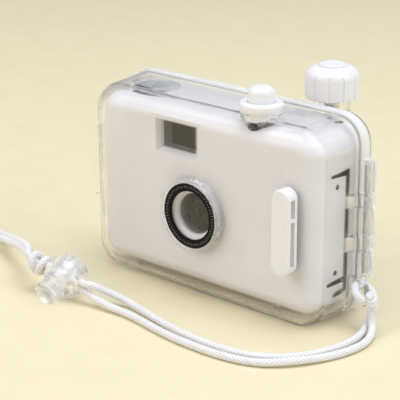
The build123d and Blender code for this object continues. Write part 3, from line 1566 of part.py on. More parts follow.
strand_b = [
    (wrap_x + wrap_side.X, wrap_y + wrap_side.Y, wrap_low),
    (wrap_x + wrap_side.X, wrap_y + wrap_side.Y, wrap_low - 3.4),
    (77.6, -10.4, 3.0),
    (79.9, -15.0, 1.65),
    (81.7, -22.4, 1.65),
    (81.0, -30.8, 1.65),
    (78.6, -39.0, 1.65),
    (75.3, -46.4, 1.9),
    (70.8, -53.8, 2.4),
    (65.0, -60.0, 1.9),
    (57.5, -64.0, 1.65),
    (47.0, -66.4, 1.65),
    (35.0, -67.0, 1.65),
    (22.0, -66.4, 1.65),
    (10.0, -64.8, 1.65),
    (-1.0, -62.4, 1.65),
    (-11.0, -61.4, 1.65),
    (-19.5, -62.4, 2.5),
    (-27.4, -62.7, 4.0),
    tuple(in_toggle(-toggle_radius - 1, cord_spacing, toggle_cord_height)),
    tuple(in_toggle(knot_start, cord_spacing, toggle_cord_height)),
]
with BuildPart() as strap_cord_a:
    add(tube(strand_a, cord_radius))
strap_cord_a.part.label = "strap_cord_a"
export_step(strap_cord_a.part, "parts/strap_cord_a.step")

with BuildPart() as strap_cord_b:
    add(tube(strand_b, cord_radius))
strap_cord_b.part.label = "strap_cord_b"
export_step(strap_cord_b.part, "parts/strap_cord_b.step")

# Wrist loop: out from the knot, round the bight and back
knot_end = knot_start + knot_length
loop_route = [
    tuple(in_toggle(knot_end, -cord_spacing, toggle_cord_height)),
    tuple(in_toggle(knot_end + 4, -cord_spacing, toggle_cord_height)),
    (-69.6, -62.2, 15.8),
    (-76.3, -55.0, 13.4),
    (-84.4, -50.7, 11.4),
    (-94.6, -45.7, 8.6),
    (-104.8, -41.0, 5.8),
    (-114.6, -36.2, 3.3),
    (-124.8, -31.0, 1.8),
    (-136.0, -27.0, 1.65),
    (-147.0, -28.0, 1.65),
    (-156.0, -34.5, 1.65),
    (-160.0, -45.0, 1.65),
    (-156.5, -55.5, 1.65),
    (-147.0, -61.0, 1.65),
    (-136.5, -58.6, 1.65),
    (-129.6, -51.0, 1.65),
    (-123.6, -43.6, 2.2),
    (-115.6, -40.4, 3.5),
    (-106.6, -44.6, 5.8),
    (-96.4, -49.6, 8.2),
    (-86.2, -54.4, 10.4),
    (-78.0, -58.1, 11.6),
    (-70.9, -62.6, 12.4),
    tuple(in_toggle(knot_end + 4, cord_spacing, toggle_cord_height)),
    tuple(in_toggle(knot_end, cord_spacing, toggle_cord_height)),
]
with BuildPart() as strap_loop:
    add(tube(loop_route, cord_radius))
strap_loop.part.label = "strap_loop"
export_step(strap_loop.part, "parts/strap_loop.step")
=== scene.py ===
# %% [markdown]
# # A film camera in its clear waterproof case
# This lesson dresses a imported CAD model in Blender. The model is a small white film camera that sits in a
# clear hinged case with a wind knob, a shutter plunger and a braided wrist strap. The CAD model gives every
# size and place, so it is loaded first and nothing is ever moved to fit.

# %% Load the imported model
import json
from math import cos, pi, radians, sin

import bmesh
import bpy
from mathutils import Matrix, Vector


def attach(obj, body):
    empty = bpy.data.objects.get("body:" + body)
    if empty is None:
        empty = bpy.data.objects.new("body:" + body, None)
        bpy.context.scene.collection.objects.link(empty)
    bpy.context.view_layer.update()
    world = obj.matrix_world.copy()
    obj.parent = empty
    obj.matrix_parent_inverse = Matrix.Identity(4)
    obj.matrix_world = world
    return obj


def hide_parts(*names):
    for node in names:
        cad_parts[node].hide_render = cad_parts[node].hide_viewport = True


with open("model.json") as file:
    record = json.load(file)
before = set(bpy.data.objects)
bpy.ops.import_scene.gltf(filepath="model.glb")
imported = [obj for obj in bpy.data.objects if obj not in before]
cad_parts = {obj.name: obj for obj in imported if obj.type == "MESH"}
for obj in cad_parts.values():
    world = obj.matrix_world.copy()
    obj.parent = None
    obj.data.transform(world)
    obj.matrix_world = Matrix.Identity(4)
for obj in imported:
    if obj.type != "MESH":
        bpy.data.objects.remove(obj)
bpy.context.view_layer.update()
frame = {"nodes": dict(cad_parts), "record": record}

MM = 0.001

# %% [markdown]
# ## Camera
# The photograph was taken from the front right, a little above the object, with a long lens, so upright
# edges hardly lean together. A place and three turns are all that it takes: round the object, down onto it,
# and a slight roll.

# %% Camera at the photograph's angle
EYE = Vector((392.3, -466.5, 251.2)) * MM
AZIMUTH = 41.70
ELEVATION = 19.38
ROLL = -0.23
FOCAL_LENGTH = 135.9
SENSOR_WIDTH = 36
NEAREST_SEEN = 10 * MM
towards_eye = Vector((
    sin(radians(AZIMUTH)) * cos(radians(ELEVATION)),
    -cos(radians(AZIMUTH)) * cos(radians(ELEVATION)),
    sin(radians(ELEVATION)),
))
lens = bpy.data.cameras.new("photo_camera")
lens.lens = FOCAL_LENGTH
lens.sensor_width = SENSOR_WIDTH
lens.clip_start = NEAREST_SEEN
photo_camera = bpy.data.objects.new("photo_camera", lens)
bpy.context.scene.collection.objects.link(photo_camera)
photo_camera.rotation_mode = "QUATERNION"
aim = towards_eye.to_track_quat("Z", "Y")
photo_camera.rotation_quaternion = aim @ Matrix.Rotation(radians(ROLL), 3, "Z").to_quaternion()
photo_camera.location = EYE
bpy.context.scene.camera = photo_camera
print("camera", round(EYE.length / MM), "mm from the origin")

# %% [markdown]
# ## Route of the strap
# The strap is one thin braided cord, doubled. Two strands leave the tie at the lug, lie side by side on the
# table and go through the cord lock to a knot. Beyond the knot they open into the wrist loop. Each route is
# a smooth NURBS line through the air and over the table. Its control points are the corners that the CAD
# route is rounded from, given here in millimetres as there.

# %% Control points of the strands
CORD_RADIUS = 1.6
STRAND_OFFSET = 1.7
LOCK_CENTRE = Vector((-43.0, -63.2, 9.6))
LOCK_RADIUS = 9.5
LOCK_ENTRY = -LOCK_RADIUS - 1
LOCK_CORD_HEIGHT = 0.8
KNOT_START = 10.2
KNOT_LENGTH = 8.0
KNOT_END = KNOT_START + KNOT_LENGTH
along_cord = Vector((-0.976, -0.0945, 0.1952)).normalized()
towards_button = Vector((0.03, -0.95, -0.31)).normalized()
across_cord = towards_button.cross(along_cord).normalized()


def in_lock(along, side, out=LOCK_CORD_HEIGHT):
    """A point near the cord lock: along the cord, across it and towards the button."""
    return tuple(LOCK_CENTRE + along * along_cord + side * across_cord + out * towards_button)


WRAP_CENTRE = Vector((74.7, -7.4, 0))
WRAP_LOW = 9.9
WRAP_TOP = 17.0
WRAP_TURN = radians(-48)
BELOW_WRAP = WRAP_LOW - 3.4
wrap_across = Vector((cos(WRAP_TURN), sin(WRAP_TURN), 0))
wrap_through = Vector((-sin(WRAP_TURN), cos(WRAP_TURN), 0))


def in_wrap(side, through, height):
    """A point in the tie at the lug, across it, through it and at a height."""
    return tuple(WRAP_CENTRE + side * wrap_across + through * wrap_through + Vector((0, 0, height)))


ON_TABLE = 1.65
strand_a_route = [
    in_wrap(-STRAND_OFFSET, 0, WRAP_LOW), in_wrap(-STRAND_OFFSET, 0, BELOW_WRAP),
    (73.3, -8.6, 3.0), (75.0, -13.6, ON_TABLE), (76.6, -20.4, ON_TABLE), (76.4, -28.8, ON_TABLE),
    (74.3, -37.2, ON_TABLE), (71.2, -44.8, ON_TABLE), (66.6, -51.4, ON_TABLE), (60.0, -57.0, ON_TABLE),
    (50.5, -60.7, ON_TABLE), (36.5, -62.3, ON_TABLE), (21.5, -61.1, ON_TABLE), (7.0, -58.6, ON_TABLE),
    (-6.0, -55.2, ON_TABLE), (-14.5, -53.6, 2.1), (-20.2, -54.8, 3.8), (-24.4, -58.2, 6.4),
    (-28.8, -62.4, 9.4), in_lock(LOCK_ENTRY, -STRAND_OFFSET), in_lock(KNOT_START, -STRAND_OFFSET),
]
strand_b_route = [
    in_wrap(STRAND_OFFSET, 0, WRAP_LOW), in_wrap(STRAND_OFFSET, 0, BELOW_WRAP),
    (77.6, -10.4, 3.0), (79.9, -15.0, ON_TABLE), (81.7, -22.4, ON_TABLE), (81.0, -30.8, ON_TABLE),
    (78.6, -39.0, ON_TABLE), (75.3, -46.4, 1.9), (70.8, -53.8, 2.4), (65.0, -60.0, 1.9),
    (57.5, -64.0, ON_TABLE), (47.0, -66.4, ON_TABLE), (35.0, -67.0, ON_TABLE), (22.0, -66.4, ON_TABLE),
    (10.0, -64.8, ON_TABLE), (-1.0, -62.4, ON_TABLE), (-11.0, -61.4, ON_TABLE), (-19.5, -62.4, 2.5),
    (-27.4, -62.7, 4.0), in_lock(LOCK_ENTRY, STRAND_OFFSET), in_lock(KNOT_START, STRAND_OFFSET),
]
wrist_loop_route = [
    in_lock(KNOT_END, -STRAND_OFFSET), in_lock(KNOT_END + 2.5, -STRAND_OFFSET), (-67.6, -61.4, 15.6),
    (-73.4, -57.6, 14.2), (-81.4, -53.0, 12.2), (-93.0, -47.2, 9.4), (-104.4, -41.6, 6.2),
    (-114.6, -36.2, 3.3), (-124.8, -31.0, 1.8), (-136.0, -27.0, ON_TABLE), (-147.0, -28.0, ON_TABLE),
    (-156.0, -34.5, ON_TABLE), (-160.0, -45.0, ON_TABLE), (-156.5, -55.5, ON_TABLE),
    (-147.0, -61.0, ON_TABLE), (-136.5, -58.6, ON_TABLE), (-129.6, -51.0, ON_TABLE), (-123.6, -43.6, 2.2),
    (-115.6, -40.4, 3.5), (-106.6, -44.6, 5.8), (-91.4, -50.0, 8.6), (-79.4, -55.6, 11.4),
    (-71.2, -60.3, 13.4), (-65.4, -63.9, 14.0),
    in_lock(KNOT_END + 1.5, STRAND_OFFSET), in_lock(KNOT_END, STRAND_OFFSET),
]
print("control points", len(strand_a_route), len(strand_b_route), len(wrist_loop_route))

# %% [markdown]
# ## Braided cord
# A braid is yarns that cross over and under each other, and on a thin cord it shows as rows of small
# lens-shaped bumps. A smooth tube with a picture of a braid looks flat at its outline, so the bumps are real
# here. Two waves run round the tube in opposite screws, and where both are high the surface stands proud.
# The height is kept on the mesh as an attribute, so the material can paint shade into the hollows with it.

# %% Line along a route
CURVE_ORDER = 3
CURVE_STEPS = 24
SHORTEST_RUN = 1e-9


def smooth_line(route, closed=False):
    """Points along the NURBS line of a route, in millimetres."""
    curve = bpy.data.curves.new("route", "CURVE")
    curve.dimensions = "3D"
    spline = curve.splines.new("NURBS")
    spline.points.add(len(route) - 1)
    for point, place in zip(spline.points, route):
        point.co = (*place, 1)
    spline.order_u = CURVE_ORDER
    spline.use_endpoint_u = not closed
    spline.use_cyclic_u = closed
    spline.resolution_u = CURVE_STEPS
    carrier = bpy.data.objects.new("route", curve)
    mesh = bpy.data.meshes.new_from_object(carrier)
    line = [vertex.co.copy() for vertex in mesh.vertices]
    if closed:
        line.append(line[0].copy())
    bpy.data.objects.remove(carrier)
    bpy.data.curves.remove(curve)
    bpy.data.meshes.remove(mesh)
    return line


def line_length(line):
    """Length along a list of points."""
    return sum((b - a).length for a, b in zip(line, line[1:]))


def even_line(line, step):
    """The same line with its points a step apart."""
    total = line_length(line)
    count = max(2, round(total / step))
    places, walked, index = [], 0.0, 0
    for k in range(count + 1):
        goal = total * k / count
        while index < len(line) - 2 and walked + (line[index + 1] - line[index]).length < goal:
            walked += (line[index + 1] - line[index]).length
            index += 1
        run = line[index + 1] - line[index]
        places.append(line[index] + run * min(1.0, (goal - walked) / max(run.length, SHORTEST_RUN)))
    return places


# %% Braided tube
BRAID_YARNS = 6
BRAID_LAY = 5.4
BRAID_RELIEF = 0.2
RING_STEP = 0.26
RING_POINTS = 28
END_ROUNDING = 0.5
END_SHARE = 0.82


def braid_height(angle, distance):
    """How proud the braid stands, from 0 in a hollow to 1 on a yarn."""
    screw = 2 * pi * distance / BRAID_LAY * BRAID_YARNS / 4
    left = abs(cos(angle * BRAID_YARNS / 2 + screw))
    right = abs(cos(angle * BRAID_YARNS / 2 - screw))
    return (left * right) ** 0.5


def add_braid(mesh, heights, line, radius, closed=False):
    """Adds a braided tube along a line of points to a bmesh, in millimetres, with rounded ends."""
    places = even_line(line, RING_STEP)
    if closed:
        places = places[:-1]
    count = len(places)
    side = (places[1] - places[0]).orthogonal().normalized()
    rings = []
    for k, place in enumerate(places):
        before = places[(k - 1) % count] if closed else places[max(k - 1, 0)]
        after = places[(k + 1) % count] if closed else places[min(k + 1, count - 1)]
        forward = (after - before).normalized()
        side = (side - side.dot(forward) * forward).normalized()
        up = forward.cross(side)
        shrink = 1.0
        end_distance = min(k, count - 1 - k) * RING_STEP
        if not closed and end_distance <= END_ROUNDING:
            shrink = END_SHARE + (1 - END_SHARE) * end_distance / END_ROUNDING
        ring = []
        for j in range(RING_POINTS):
            angle = 2 * pi * j / RING_POINTS
            height = braid_height(angle, k * RING_STEP)
            reach = radius * shrink * (1 - BRAID_RELIEF * (1 - height))
            ring.append(mesh.verts.new((place + reach * (cos(angle) * side + sin(angle) * up)) * MM))
            heights.append(height)
        rings.append(ring)
    pairs = list(zip(rings, rings[1:])) + ([(rings[-1], rings[0])] if closed else [])
    for first, second in pairs:
        for j in range(RING_POINTS):
            following = (j + 1) % RING_POINTS
            mesh.faces.new((first[j], first[following], second[following], second[j]))
    if not closed:
        mesh.faces.new(list(reversed(rings[0])))
        mesh.faces.new(rings[-1])


def braided_piece(name, tubes):
    """One object from several braided tubes: each is (line, radius, closed)."""
    mesh = bmesh.new()
    heights = []
    for line, radius, closed in tubes:
        add_braid(mesh, heights, line, radius, closed)
    data = bpy.data.meshes.new(name)
    mesh.to_mesh(data)
    mesh.free()
    attribute = data.attributes.new("braid_height", "FLOAT", "POINT")
    attribute.data.foreach_set("value", heights)
    data.polygons.foreach_set("use_smooth", [True] * len(data.polygons))
    piece = bpy.data.objects.new(name, data)
    bpy.context.scene.collection.objects.link(piece)
    print(name, len(data.polygons), "faces")
    return piece


# %% The two strands and the wrist loop
strand_lines = {
    "braided_strand_a": smooth_line(strand_a_route),
    "braided_strand_b": smooth_line(strand_b_route),
    "braided_wrist_loop": smooth_line(wrist_loop_route),
}
cords = {name: braided_piece(name, [(line, CORD_RADIUS, False)]) for name, line in strand_lines.items()}
for name, line in strand_lines.items():
    print(name, round(line_length(line), 1), "mm long")

# %% [markdown]
# ## Knot and tie
# The knot beside the cord lock is the same cord wound round itself. The strands cross inside it, and two
# turns lean over them in opposite ways, which gives the lumpy outline of an overhand knot. The tie at the
# lug is a ring of cord through the hole and a few tight turns round both strands.

# %% Overhand knot
KNOT_WRAP_SIDE = 3.8
KNOT_WRAP_OUT = 3.0
KNOT_LEAN = 1.3
KNOT_MIDDLE = KNOT_START + KNOT_LENGTH / 2
FIRST_TURN = KNOT_MIDDLE - 2.1
SECOND_TURN = KNOT_MIDDLE + 1.4
CROSSING_INSET = 2
CROSSING_RISE = 0.4
CROSSING_TOP = 1.2
POINTS_PER_TURN = 12


def knot_turn(middle, lean):
    """The line of one turn of cord round the strands, leaning along them."""
    points = []
    for k in range(POINTS_PER_TURN):
        angle = 2 * pi * k / POINTS_PER_TURN
        along = middle + lean * cos(angle)
        out = LOCK_CORD_HEIGHT + KNOT_WRAP_OUT * sin(angle)
        points.append(in_lock(along, KNOT_WRAP_SIDE * cos(angle), out))
    return smooth_line(points, closed=True)


def crossing_strand(side):
    """The line of a strand that starts on one side, crosses over or under and ends on the other."""
    rise = LOCK_CORD_HEIGHT + side * CROSSING_RISE
    return smooth_line([
        in_lock(KNOT_START, side * STRAND_OFFSET),
        in_lock(KNOT_START + CROSSING_INSET, side * STRAND_OFFSET, rise),
        in_lock(KNOT_MIDDLE, 0, LOCK_CORD_HEIGHT + side * CROSSING_TOP),
        in_lock(KNOT_END - CROSSING_INSET, -side * STRAND_OFFSET, rise),
        in_lock(KNOT_END, -side * STRAND_OFFSET),
    ])


knot = braided_piece("overhand_knot", [
    (crossing_strand(-1), CORD_RADIUS, False),
    (crossing_strand(1), CORD_RADIUS, False),
    (knot_turn(FIRST_TURN, KNOT_LEAN), CORD_RADIUS, True),
    (knot_turn(SECOND_TURN, -KNOT_LEAN), CORD_RADIUS, True),
])

# %% Tie at the lug
RING_CENTRE = Vector((70.2, -6.5, 15.4))
RING_RADIUS = 4.3
RING_LEAN = radians(-35.6)
RING_EASE = 1.04
TIE_TURNS = 3
TIE_CORD = 1.15
TIE_SIDE = 2.9
TIE_THROUGH = 1.5
HIDDEN_CORD = 0.95 * CORD_RADIUS
HIDDEN_STEP = 3
HIDDEN_POINTS = 3
ring_across = Vector((cos(RING_LEAN), 0, sin(RING_LEAN)))
ring_along = Vector((0, 1, 0))


def lug_ring():
    """The line of the ring. Its control points stand a little outside it, as the line runs inside them."""
    points = []
    for k in range(POINTS_PER_TURN):
        angle = 2 * pi * k / POINTS_PER_TURN
        reach = RING_RADIUS * (cos(angle) * ring_across + sin(angle) * ring_along) * RING_EASE
        points.append(RING_CENTRE + reach)
    return smooth_line(points, closed=True)


def tie_turns():
    """The line of the turns, which climbs from the tie's low end to its top."""
    last = TIE_TURNS * POINTS_PER_TURN
    climb = WRAP_TOP - WRAP_LOW - 2 * TIE_CORD
    points = []
    for k in range(last + 1):
        angle = 2 * pi * k / POINTS_PER_TURN
        height = WRAP_LOW + TIE_CORD + climb * k / last
        points.append(in_wrap(TIE_SIDE * cos(angle), TIE_THROUGH * sin(angle), height))
    return smooth_line(points)


def hidden_strand(side):
    """The line of a strand inside the turns."""
    heights = [WRAP_LOW + HIDDEN_STEP * k for k in range(HIDDEN_POINTS)]
    return smooth_line([in_wrap(side * STRAND_OFFSET, 0, height) for height in heights])


tie = braided_piece("lug_tie", [
    (lug_ring(), CORD_RADIUS, True),
    (tie_turns(), TIE_CORD, False),
    (hidden_strand(-1), HIDDEN_CORD, False),
    (hidden_strand(1), HIDDEN_CORD, False),
])

# %% [markdown]
# ## Materials
# Each finish is a small group of nodes that reads object coordinates, so a pattern stays on its piece when
# the piece moves. Moulded white plastic is almost even: a faint cloudiness in its colour, a fine orange peel
# in its surface and a sheen that varies a little. Black parts are the same with other numbers.

# %% A moulded plastic finish
NOISE_BAND = (0.35, 0.65)
NOISE_DETAIL = 3.0
CLOUD_SCALE = 60.0
GRAIN_STRENGTH = 0.35


def new_material(name):
    """A material with its nodes, its links and its main shader."""
    made = bpy.data.materials.new(name)
    made.use_nodes = True
    nodes = made.node_tree.nodes
    return made, nodes, made.node_tree.links, nodes["Principled BSDF"]


def noise(nodes, links, scale):
    """The values of a noise texture on object coordinates."""
    place = nodes.new("ShaderNodeTexCoord")
    texture = nodes.new("ShaderNodeTexNoise")
    texture.inputs["Scale"].default_value = scale
    texture.inputs["Detail"].default_value = NOISE_DETAIL
    links.new(place.outputs["Object"], texture.inputs["Vector"])
    return texture.outputs["Fac"]


def spread(nodes, links, source, low, high):
    """The source's values over the noise band, spread from low to high."""
    band = nodes.new("ShaderNodeMapRange")
    band.inputs["From Min"].default_value = NOISE_BAND[0]
    band.inputs["From Max"].default_value = NOISE_BAND[1]
    band.inputs["To Min"].default_value = low
    band.inputs["To Max"].default_value = high
    links.new(source, band.inputs["Value"])
    return band.outputs["Result"]


def two_tone(nodes, links, source, colours, band=NOISE_BAND):
    """A colour between two, chosen by the source's values over a band."""
    ramp = nodes.new("ShaderNodeValToRGB")
    for stop, position, colour in zip(ramp.color_ramp.elements, band, colours):
        stop.position = position
        stop.color = (*colour, 1)
    links.new(source, ramp.inputs["Fac"])
    return ramp.outputs["Color"]


def add_grain(nodes, links, shader, source, strength, depth):
    """Raises the surface by the source, up to a depth in metres."""
    bump = nodes.new("ShaderNodeBump")
    bump.inputs["Strength"].default_value = strength
    bump.inputs["Distance"].default_value = depth
    links.new(source, bump.inputs["Height"])
    links.new(bump.outputs["Normal"], shader.inputs["Normal"])


def moulded(name, dark, light, roughness, grain, depth):
    """Moulded plastic or metal skin: two close colours, a rough band, and a grain of a depth in metres."""
    made, nodes, links, shader = new_material(name)
    cloud = noise(nodes, links, CLOUD_SCALE)
    fine = noise(nodes, links, grain)
    links.new(two_tone(nodes, links, cloud, (dark, light)), shader.inputs["Base Color"])
    links.new(spread(nodes, links, fine, *roughness), shader.inputs["Roughness"])
    add_grain(nodes, links, shader, fine, GRAIN_STRENGTH, depth)
    return made, shader


# %% [markdown]
# ## White, black and rubber parts
# The white skin lets a little light into its surface, which softens its shadows. The black parts and the
# painted seam shade are deep and dull, so their shine is turned down. The dark metal parts of the camera are
# blackened.

# %% Moulded finishes
WHITE_GLOW = 0.04
WHITE_GLOW_DEPTHS = (0.002, 0.0017, 0.0015)
white_gloss, white_shader = moulded(
    "white_gloss_plastic", dark=(0.83, 0.825, 0.84), light=(0.85, 0.845, 0.86),
    roughness=(0.29, 0.31), grain=300.0, depth=0.000001)
white_shader.inputs["Subsurface Weight"].default_value = WHITE_GLOW
white_shader.inputs["Subsurface Radius"].default_value = WHITE_GLOW_DEPTHS
white_satin, _ = moulded(
    "white_satin_plastic", dark=(0.80, 0.78, 0.79), light=(0.84, 0.825, 0.835),
    roughness=(0.40, 0.50), grain=1000.0, depth=0.00001)

BLACK_SHINE = 0.12
black_satin, black_shader = moulded(
    "black_satin_plastic", dark=(0.002, 0.0015, 0.0015), light=(0.005, 0.004, 0.004),
    roughness=(0.35, 0.55), grain=1600.0, depth=0.00003)
black_shader.inputs["Specular IOR Level"].default_value = BLACK_SHINE

METAL_SHARE = 0.8
dark_metal, dark_shader = moulded(
    "blackened_metal", dark=(0.02, 0.02, 0.02), light=(0.05, 0.05, 0.05),
    roughness=(0.3, 0.5), grain=1500.0, depth=0.00003)
dark_shader.inputs["Metallic"].default_value = METAL_SHARE

SEAM_SHADE_SHINE = 0.2
soft_rubber, _ = moulded(
    "soft_rubber", dark=(0.50, 0.47, 0.45), light=(0.60, 0.57, 0.55),
    roughness=(0.6, 0.75), grain=1200.0, depth=0.00005)
# Dark paint for the seam gaps: painted shade, with the dark chassis behind the gaps.
painted_seam_shade, seam_shade_shader = moulded(
    "painted_seam_shade", dark=(0.012, 0.010, 0.008), light=(0.03, 0.025, 0.02),
    roughness=(0.7, 0.9), grain=2500.0, depth=0.0001)
seam_shade_shader.inputs["Specular IOR Level"].default_value = SEAM_SHADE_SHINE
moulded_finishes = (white_gloss, white_satin, black_satin, dark_metal, soft_rubber, painted_seam_shade)
print("moulded finishes:", [finish.name for finish in moulded_finishes])

# %% [markdown]
# ## Steel and glass
# Pins and springs are drawn steel, with fine streaks along them: a noise that a Mapping node stretches.
# Clear plastic is glass of a low index, and the thick walls round the case's flange are a little milky. The
# lens and the viewfinder window are darker glass with a warm coat. Rays from lamps go straight through all
# of them, or the camera inside would stand in the dark.

# %% Drawn steel
STREAK_SCALE = 4000.0
STREAK_STRETCH = (1.0, 1.0, 0.06)
STEEL_COLOURS = ((0.50, 0.50, 0.50), (0.68, 0.67, 0.66))
STEEL_ROUGHNESS = (0.2, 0.4)


def drawn_steel():
    """Bright steel with fine streaks."""
    made, nodes, links, shader = new_material("drawn_steel")
    place = nodes.new("ShaderNodeTexCoord")
    stretch = nodes.new("ShaderNodeMapping")
    stretch.inputs["Scale"].default_value = STREAK_STRETCH
    streaks = nodes.new("ShaderNodeTexNoise")
    streaks.inputs["Scale"].default_value = STREAK_SCALE
    links.new(place.outputs["Object"], stretch.inputs["Vector"])
    links.new(stretch.outputs["Vector"], streaks.inputs["Vector"])
    streak = streaks.outputs["Fac"]
    links.new(two_tone(nodes, links, streak, STEEL_COLOURS), shader.inputs["Base Color"])
    links.new(spread(nodes, links, streak, *STEEL_ROUGHNESS), shader.inputs["Roughness"])
    shader.inputs["Metallic"].default_value = 1.0
    return made


steel = drawn_steel()
print("metal finish:", steel.name)

# %% Clear plastic and coated glass
MILKY_FROM = -3.5 * MM
MILKY_TO = 8.4 * MM
MILKY_STOPS = (0.15, 0.75)
HAZE_SCALE = 140.0
LAMP_SHARE = 0.96


def see_through(name, colour, index, haze, clear_walls, clear_flange):
    """Clear material that lets lamps through. The index is its index of refraction, haze its rough band.
    It is milkier round the flange, where the walls are thick, than in front of it and behind it."""
    made, nodes, links, shader = new_material(name)
    shader.inputs["Base Color"].default_value = (*colour, 1)
    shader.inputs["IOR"].default_value = index
    place = nodes.new("ShaderNodeTexCoord")
    axes = nodes.new("ShaderNodeSeparateXYZ")
    depth = nodes.new("ShaderNodeMapRange")
    depth.inputs["From Min"].default_value = MILKY_FROM
    depth.inputs["From Max"].default_value = MILKY_TO
    links.new(place.outputs["Object"], axes.inputs["Vector"])
    links.new(axes.outputs["Y"], depth.inputs["Value"])
    clear = nodes.new("ShaderNodeValToRGB")
    stops = clear.color_ramp.elements
    for position in MILKY_STOPS:
        stops.new(position)
    for stop, share in zip(stops, (clear_walls, clear_flange, clear_flange, clear_walls)):
        stop.color = (share, share, share, 1)
    links.new(depth.outputs["Result"], clear.inputs["Fac"])
    links.new(clear.outputs["Color"], shader.inputs["Transmission Weight"])
    haze_marks = noise(nodes, links, HAZE_SCALE)
    links.new(spread(nodes, links, haze_marks, *haze), shader.inputs["Roughness"])
    rays = nodes.new("ShaderNodeLightPath")
    through = nodes.new("ShaderNodeBsdfTransparent")
    through.inputs["Color"].default_value = (LAMP_SHARE, LAMP_SHARE, LAMP_SHARE, 1)
    either = nodes.new("ShaderNodeMath")
    either.operation = "MAXIMUM"
    choose = nodes.new("ShaderNodeMixShader")
    links.new(rays.outputs["Is Shadow Ray"], either.inputs[0])
    links.new(rays.outputs["Is Diffuse Ray"], either.inputs[1])
    links.new(either.outputs["Value"], choose.inputs["Fac"])
    links.new(shader.outputs["BSDF"], choose.inputs[1])
    links.new(through.outputs["BSDF"], choose.inputs[2])
    links.new(choose.outputs["Shader"], nodes["Material Output"].inputs["Surface"])
    return made, shader


# A fifth of the light goes through the case's walls unbent.
SEEN_WALL = 0.8
clear_plastic, clear_shader = see_through(
    "clear_plastic", colour=(0.99, 0.99, 0.995), index=1.26, haze=(0.0, 0.01),
    clear_walls=1.0, clear_flange=0.5)
clear_shader.inputs["Alpha"].default_value = SEEN_WALL
clear_nylon, _ = see_through(
    "clear_nylon", colour=(0.99, 0.985, 0.98), index=1.4, haze=(0.02, 0.1),
    clear_walls=0.82, clear_flange=0.82)

LENS_COAT = 0.3
LENS_COAT_TINT = (1.0, 0.86, 0.62, 1)
lens_glass, glass_shader = see_through(
    "coated_glass", colour=(0.13, 0.10, 0.05), index=1.35, haze=(0.0, 0.02),
    clear_walls=1.0, clear_flange=1.0)
glass_shader.inputs["Coat Weight"].default_value = LENS_COAT
glass_shader.inputs["Coat Tint"].default_value = LENS_COAT_TINT
print("clear finishes:", clear_plastic.name, clear_nylon.name, lens_glass.name)

# %% [markdown]
# ## Cord finish
# The cord is soft white nylon. Shade is painted into its hollows, a little darker than its yarns, from the
# height that the braid left on the mesh, and it has the soft sheen of thread.

# %% White nylon
# The first colour is painted shade for the braid's hollows, the second the yarn's own white.
NYLON_SHADE_AND_YARN_COLOURS = ((0.42, 0.40, 0.41), (0.86, 0.85, 0.86))
NYLON_SHADE_BAND = (0.05, 0.55)
NYLON_ROUGHNESS = (0.6, 0.8)
FIBRE_SCALE = 3500.0
FIBRE_STRENGTH = 0.4
FIBRE_DEPTH = 0.00005
THREAD_SHEEN = 0.3
THREAD_SHEEN_ROUGHNESS = 0.4


def white_nylon():
    """Braided thread, with shade painted into the hollows of the braid."""
    made, nodes, links, shader = new_material("white_nylon")
    height = nodes.new("ShaderNodeAttribute")
    height.attribute_name = "braid_height"
    # Painted shade: the lower the braid, the darker the colour.
    colour = two_tone(nodes, links, height.outputs["Fac"], NYLON_SHADE_AND_YARN_COLOURS, NYLON_SHADE_BAND)
    links.new(colour, shader.inputs["Base Color"])
    fibre = noise(nodes, links, FIBRE_SCALE)
    links.new(spread(nodes, links, fibre, *NYLON_ROUGHNESS), shader.inputs["Roughness"])
    add_grain(nodes, links, shader, fibre, FIBRE_STRENGTH, FIBRE_DEPTH)
    shader.inputs["Sheen Weight"].default_value = THREAD_SHEEN
    shader.inputs["Sheen Roughness"].default_value = THREAD_SHEEN_ROUGHNESS
    return made


nylon = white_nylon()
finishes = {
    "clear_plastic": clear_plastic, "white_plastic": white_gloss, "white_matt_plastic": white_satin,
    "black_plastic": black_satin, "steel": steel, "dark_steel": dark_metal, "glass": lens_glass,
    "rubber": soft_rubber, "cord": nylon,
}


def paint(piece, finish):
    """Gives a piece one material."""
    piece.data.materials.clear()
    piece.data.materials.append(finish)


slot_of = {part["node"]: part["material_slot"] for part in frame["record"]["subparts"]}
for node_name, node in frame["nodes"].items():
    paint(node, finishes[slot_of[node_name]])
for piece in (*cords.values(), knot, tie):
    paint(piece, nylon)
    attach(piece, "case_front")
print("painted", len(frame["nodes"]), "CAD nodes")

# %% [markdown]
# ## Softer edges
# Moulded parts have small radii on every edge, and those catch the light. The CAD solids have their large
# curves already. So each visible moulding is copied, its triangles are merged back into flat faces, and a
# narrow bevel goes on the sharp edges. Weighted normals then keep the flat faces looking flat. The copy
# stands for the CAD node.

# %% A copy with bevelled edges
body_of_node = {
    node: body for body, nodes in frame["record"]["behaviour"]["bodies"].items() for node in nodes}
SHARP_EDGE = radians(32)
SMOOTH_EDGE = radians(40)
SAME_PLANE = radians(0.5)
SAME_PLACE = 0.002 * MM
WIDE_EDGE = 0.5
NARROW_SEGMENTS = 2
WIDE_SEGMENTS = 4


def deselect_all():
    """Leaves nothing selected."""
    bpy.ops.object.select_all(action="DESELECT")


def make_active(piece):
    """Selects one piece and makes it active."""
    deselect_all()
    piece.select_set(True)
    bpy.context.view_layer.objects.active = piece


def stand_for(piece, *nodes):
    """The piece rides with these CAD nodes' body, has their finish and is shown in their place."""
    paint(piece, finishes[slot_of[nodes[0]]])
    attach(piece, body_of_node[nodes[0]])
    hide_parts(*nodes)


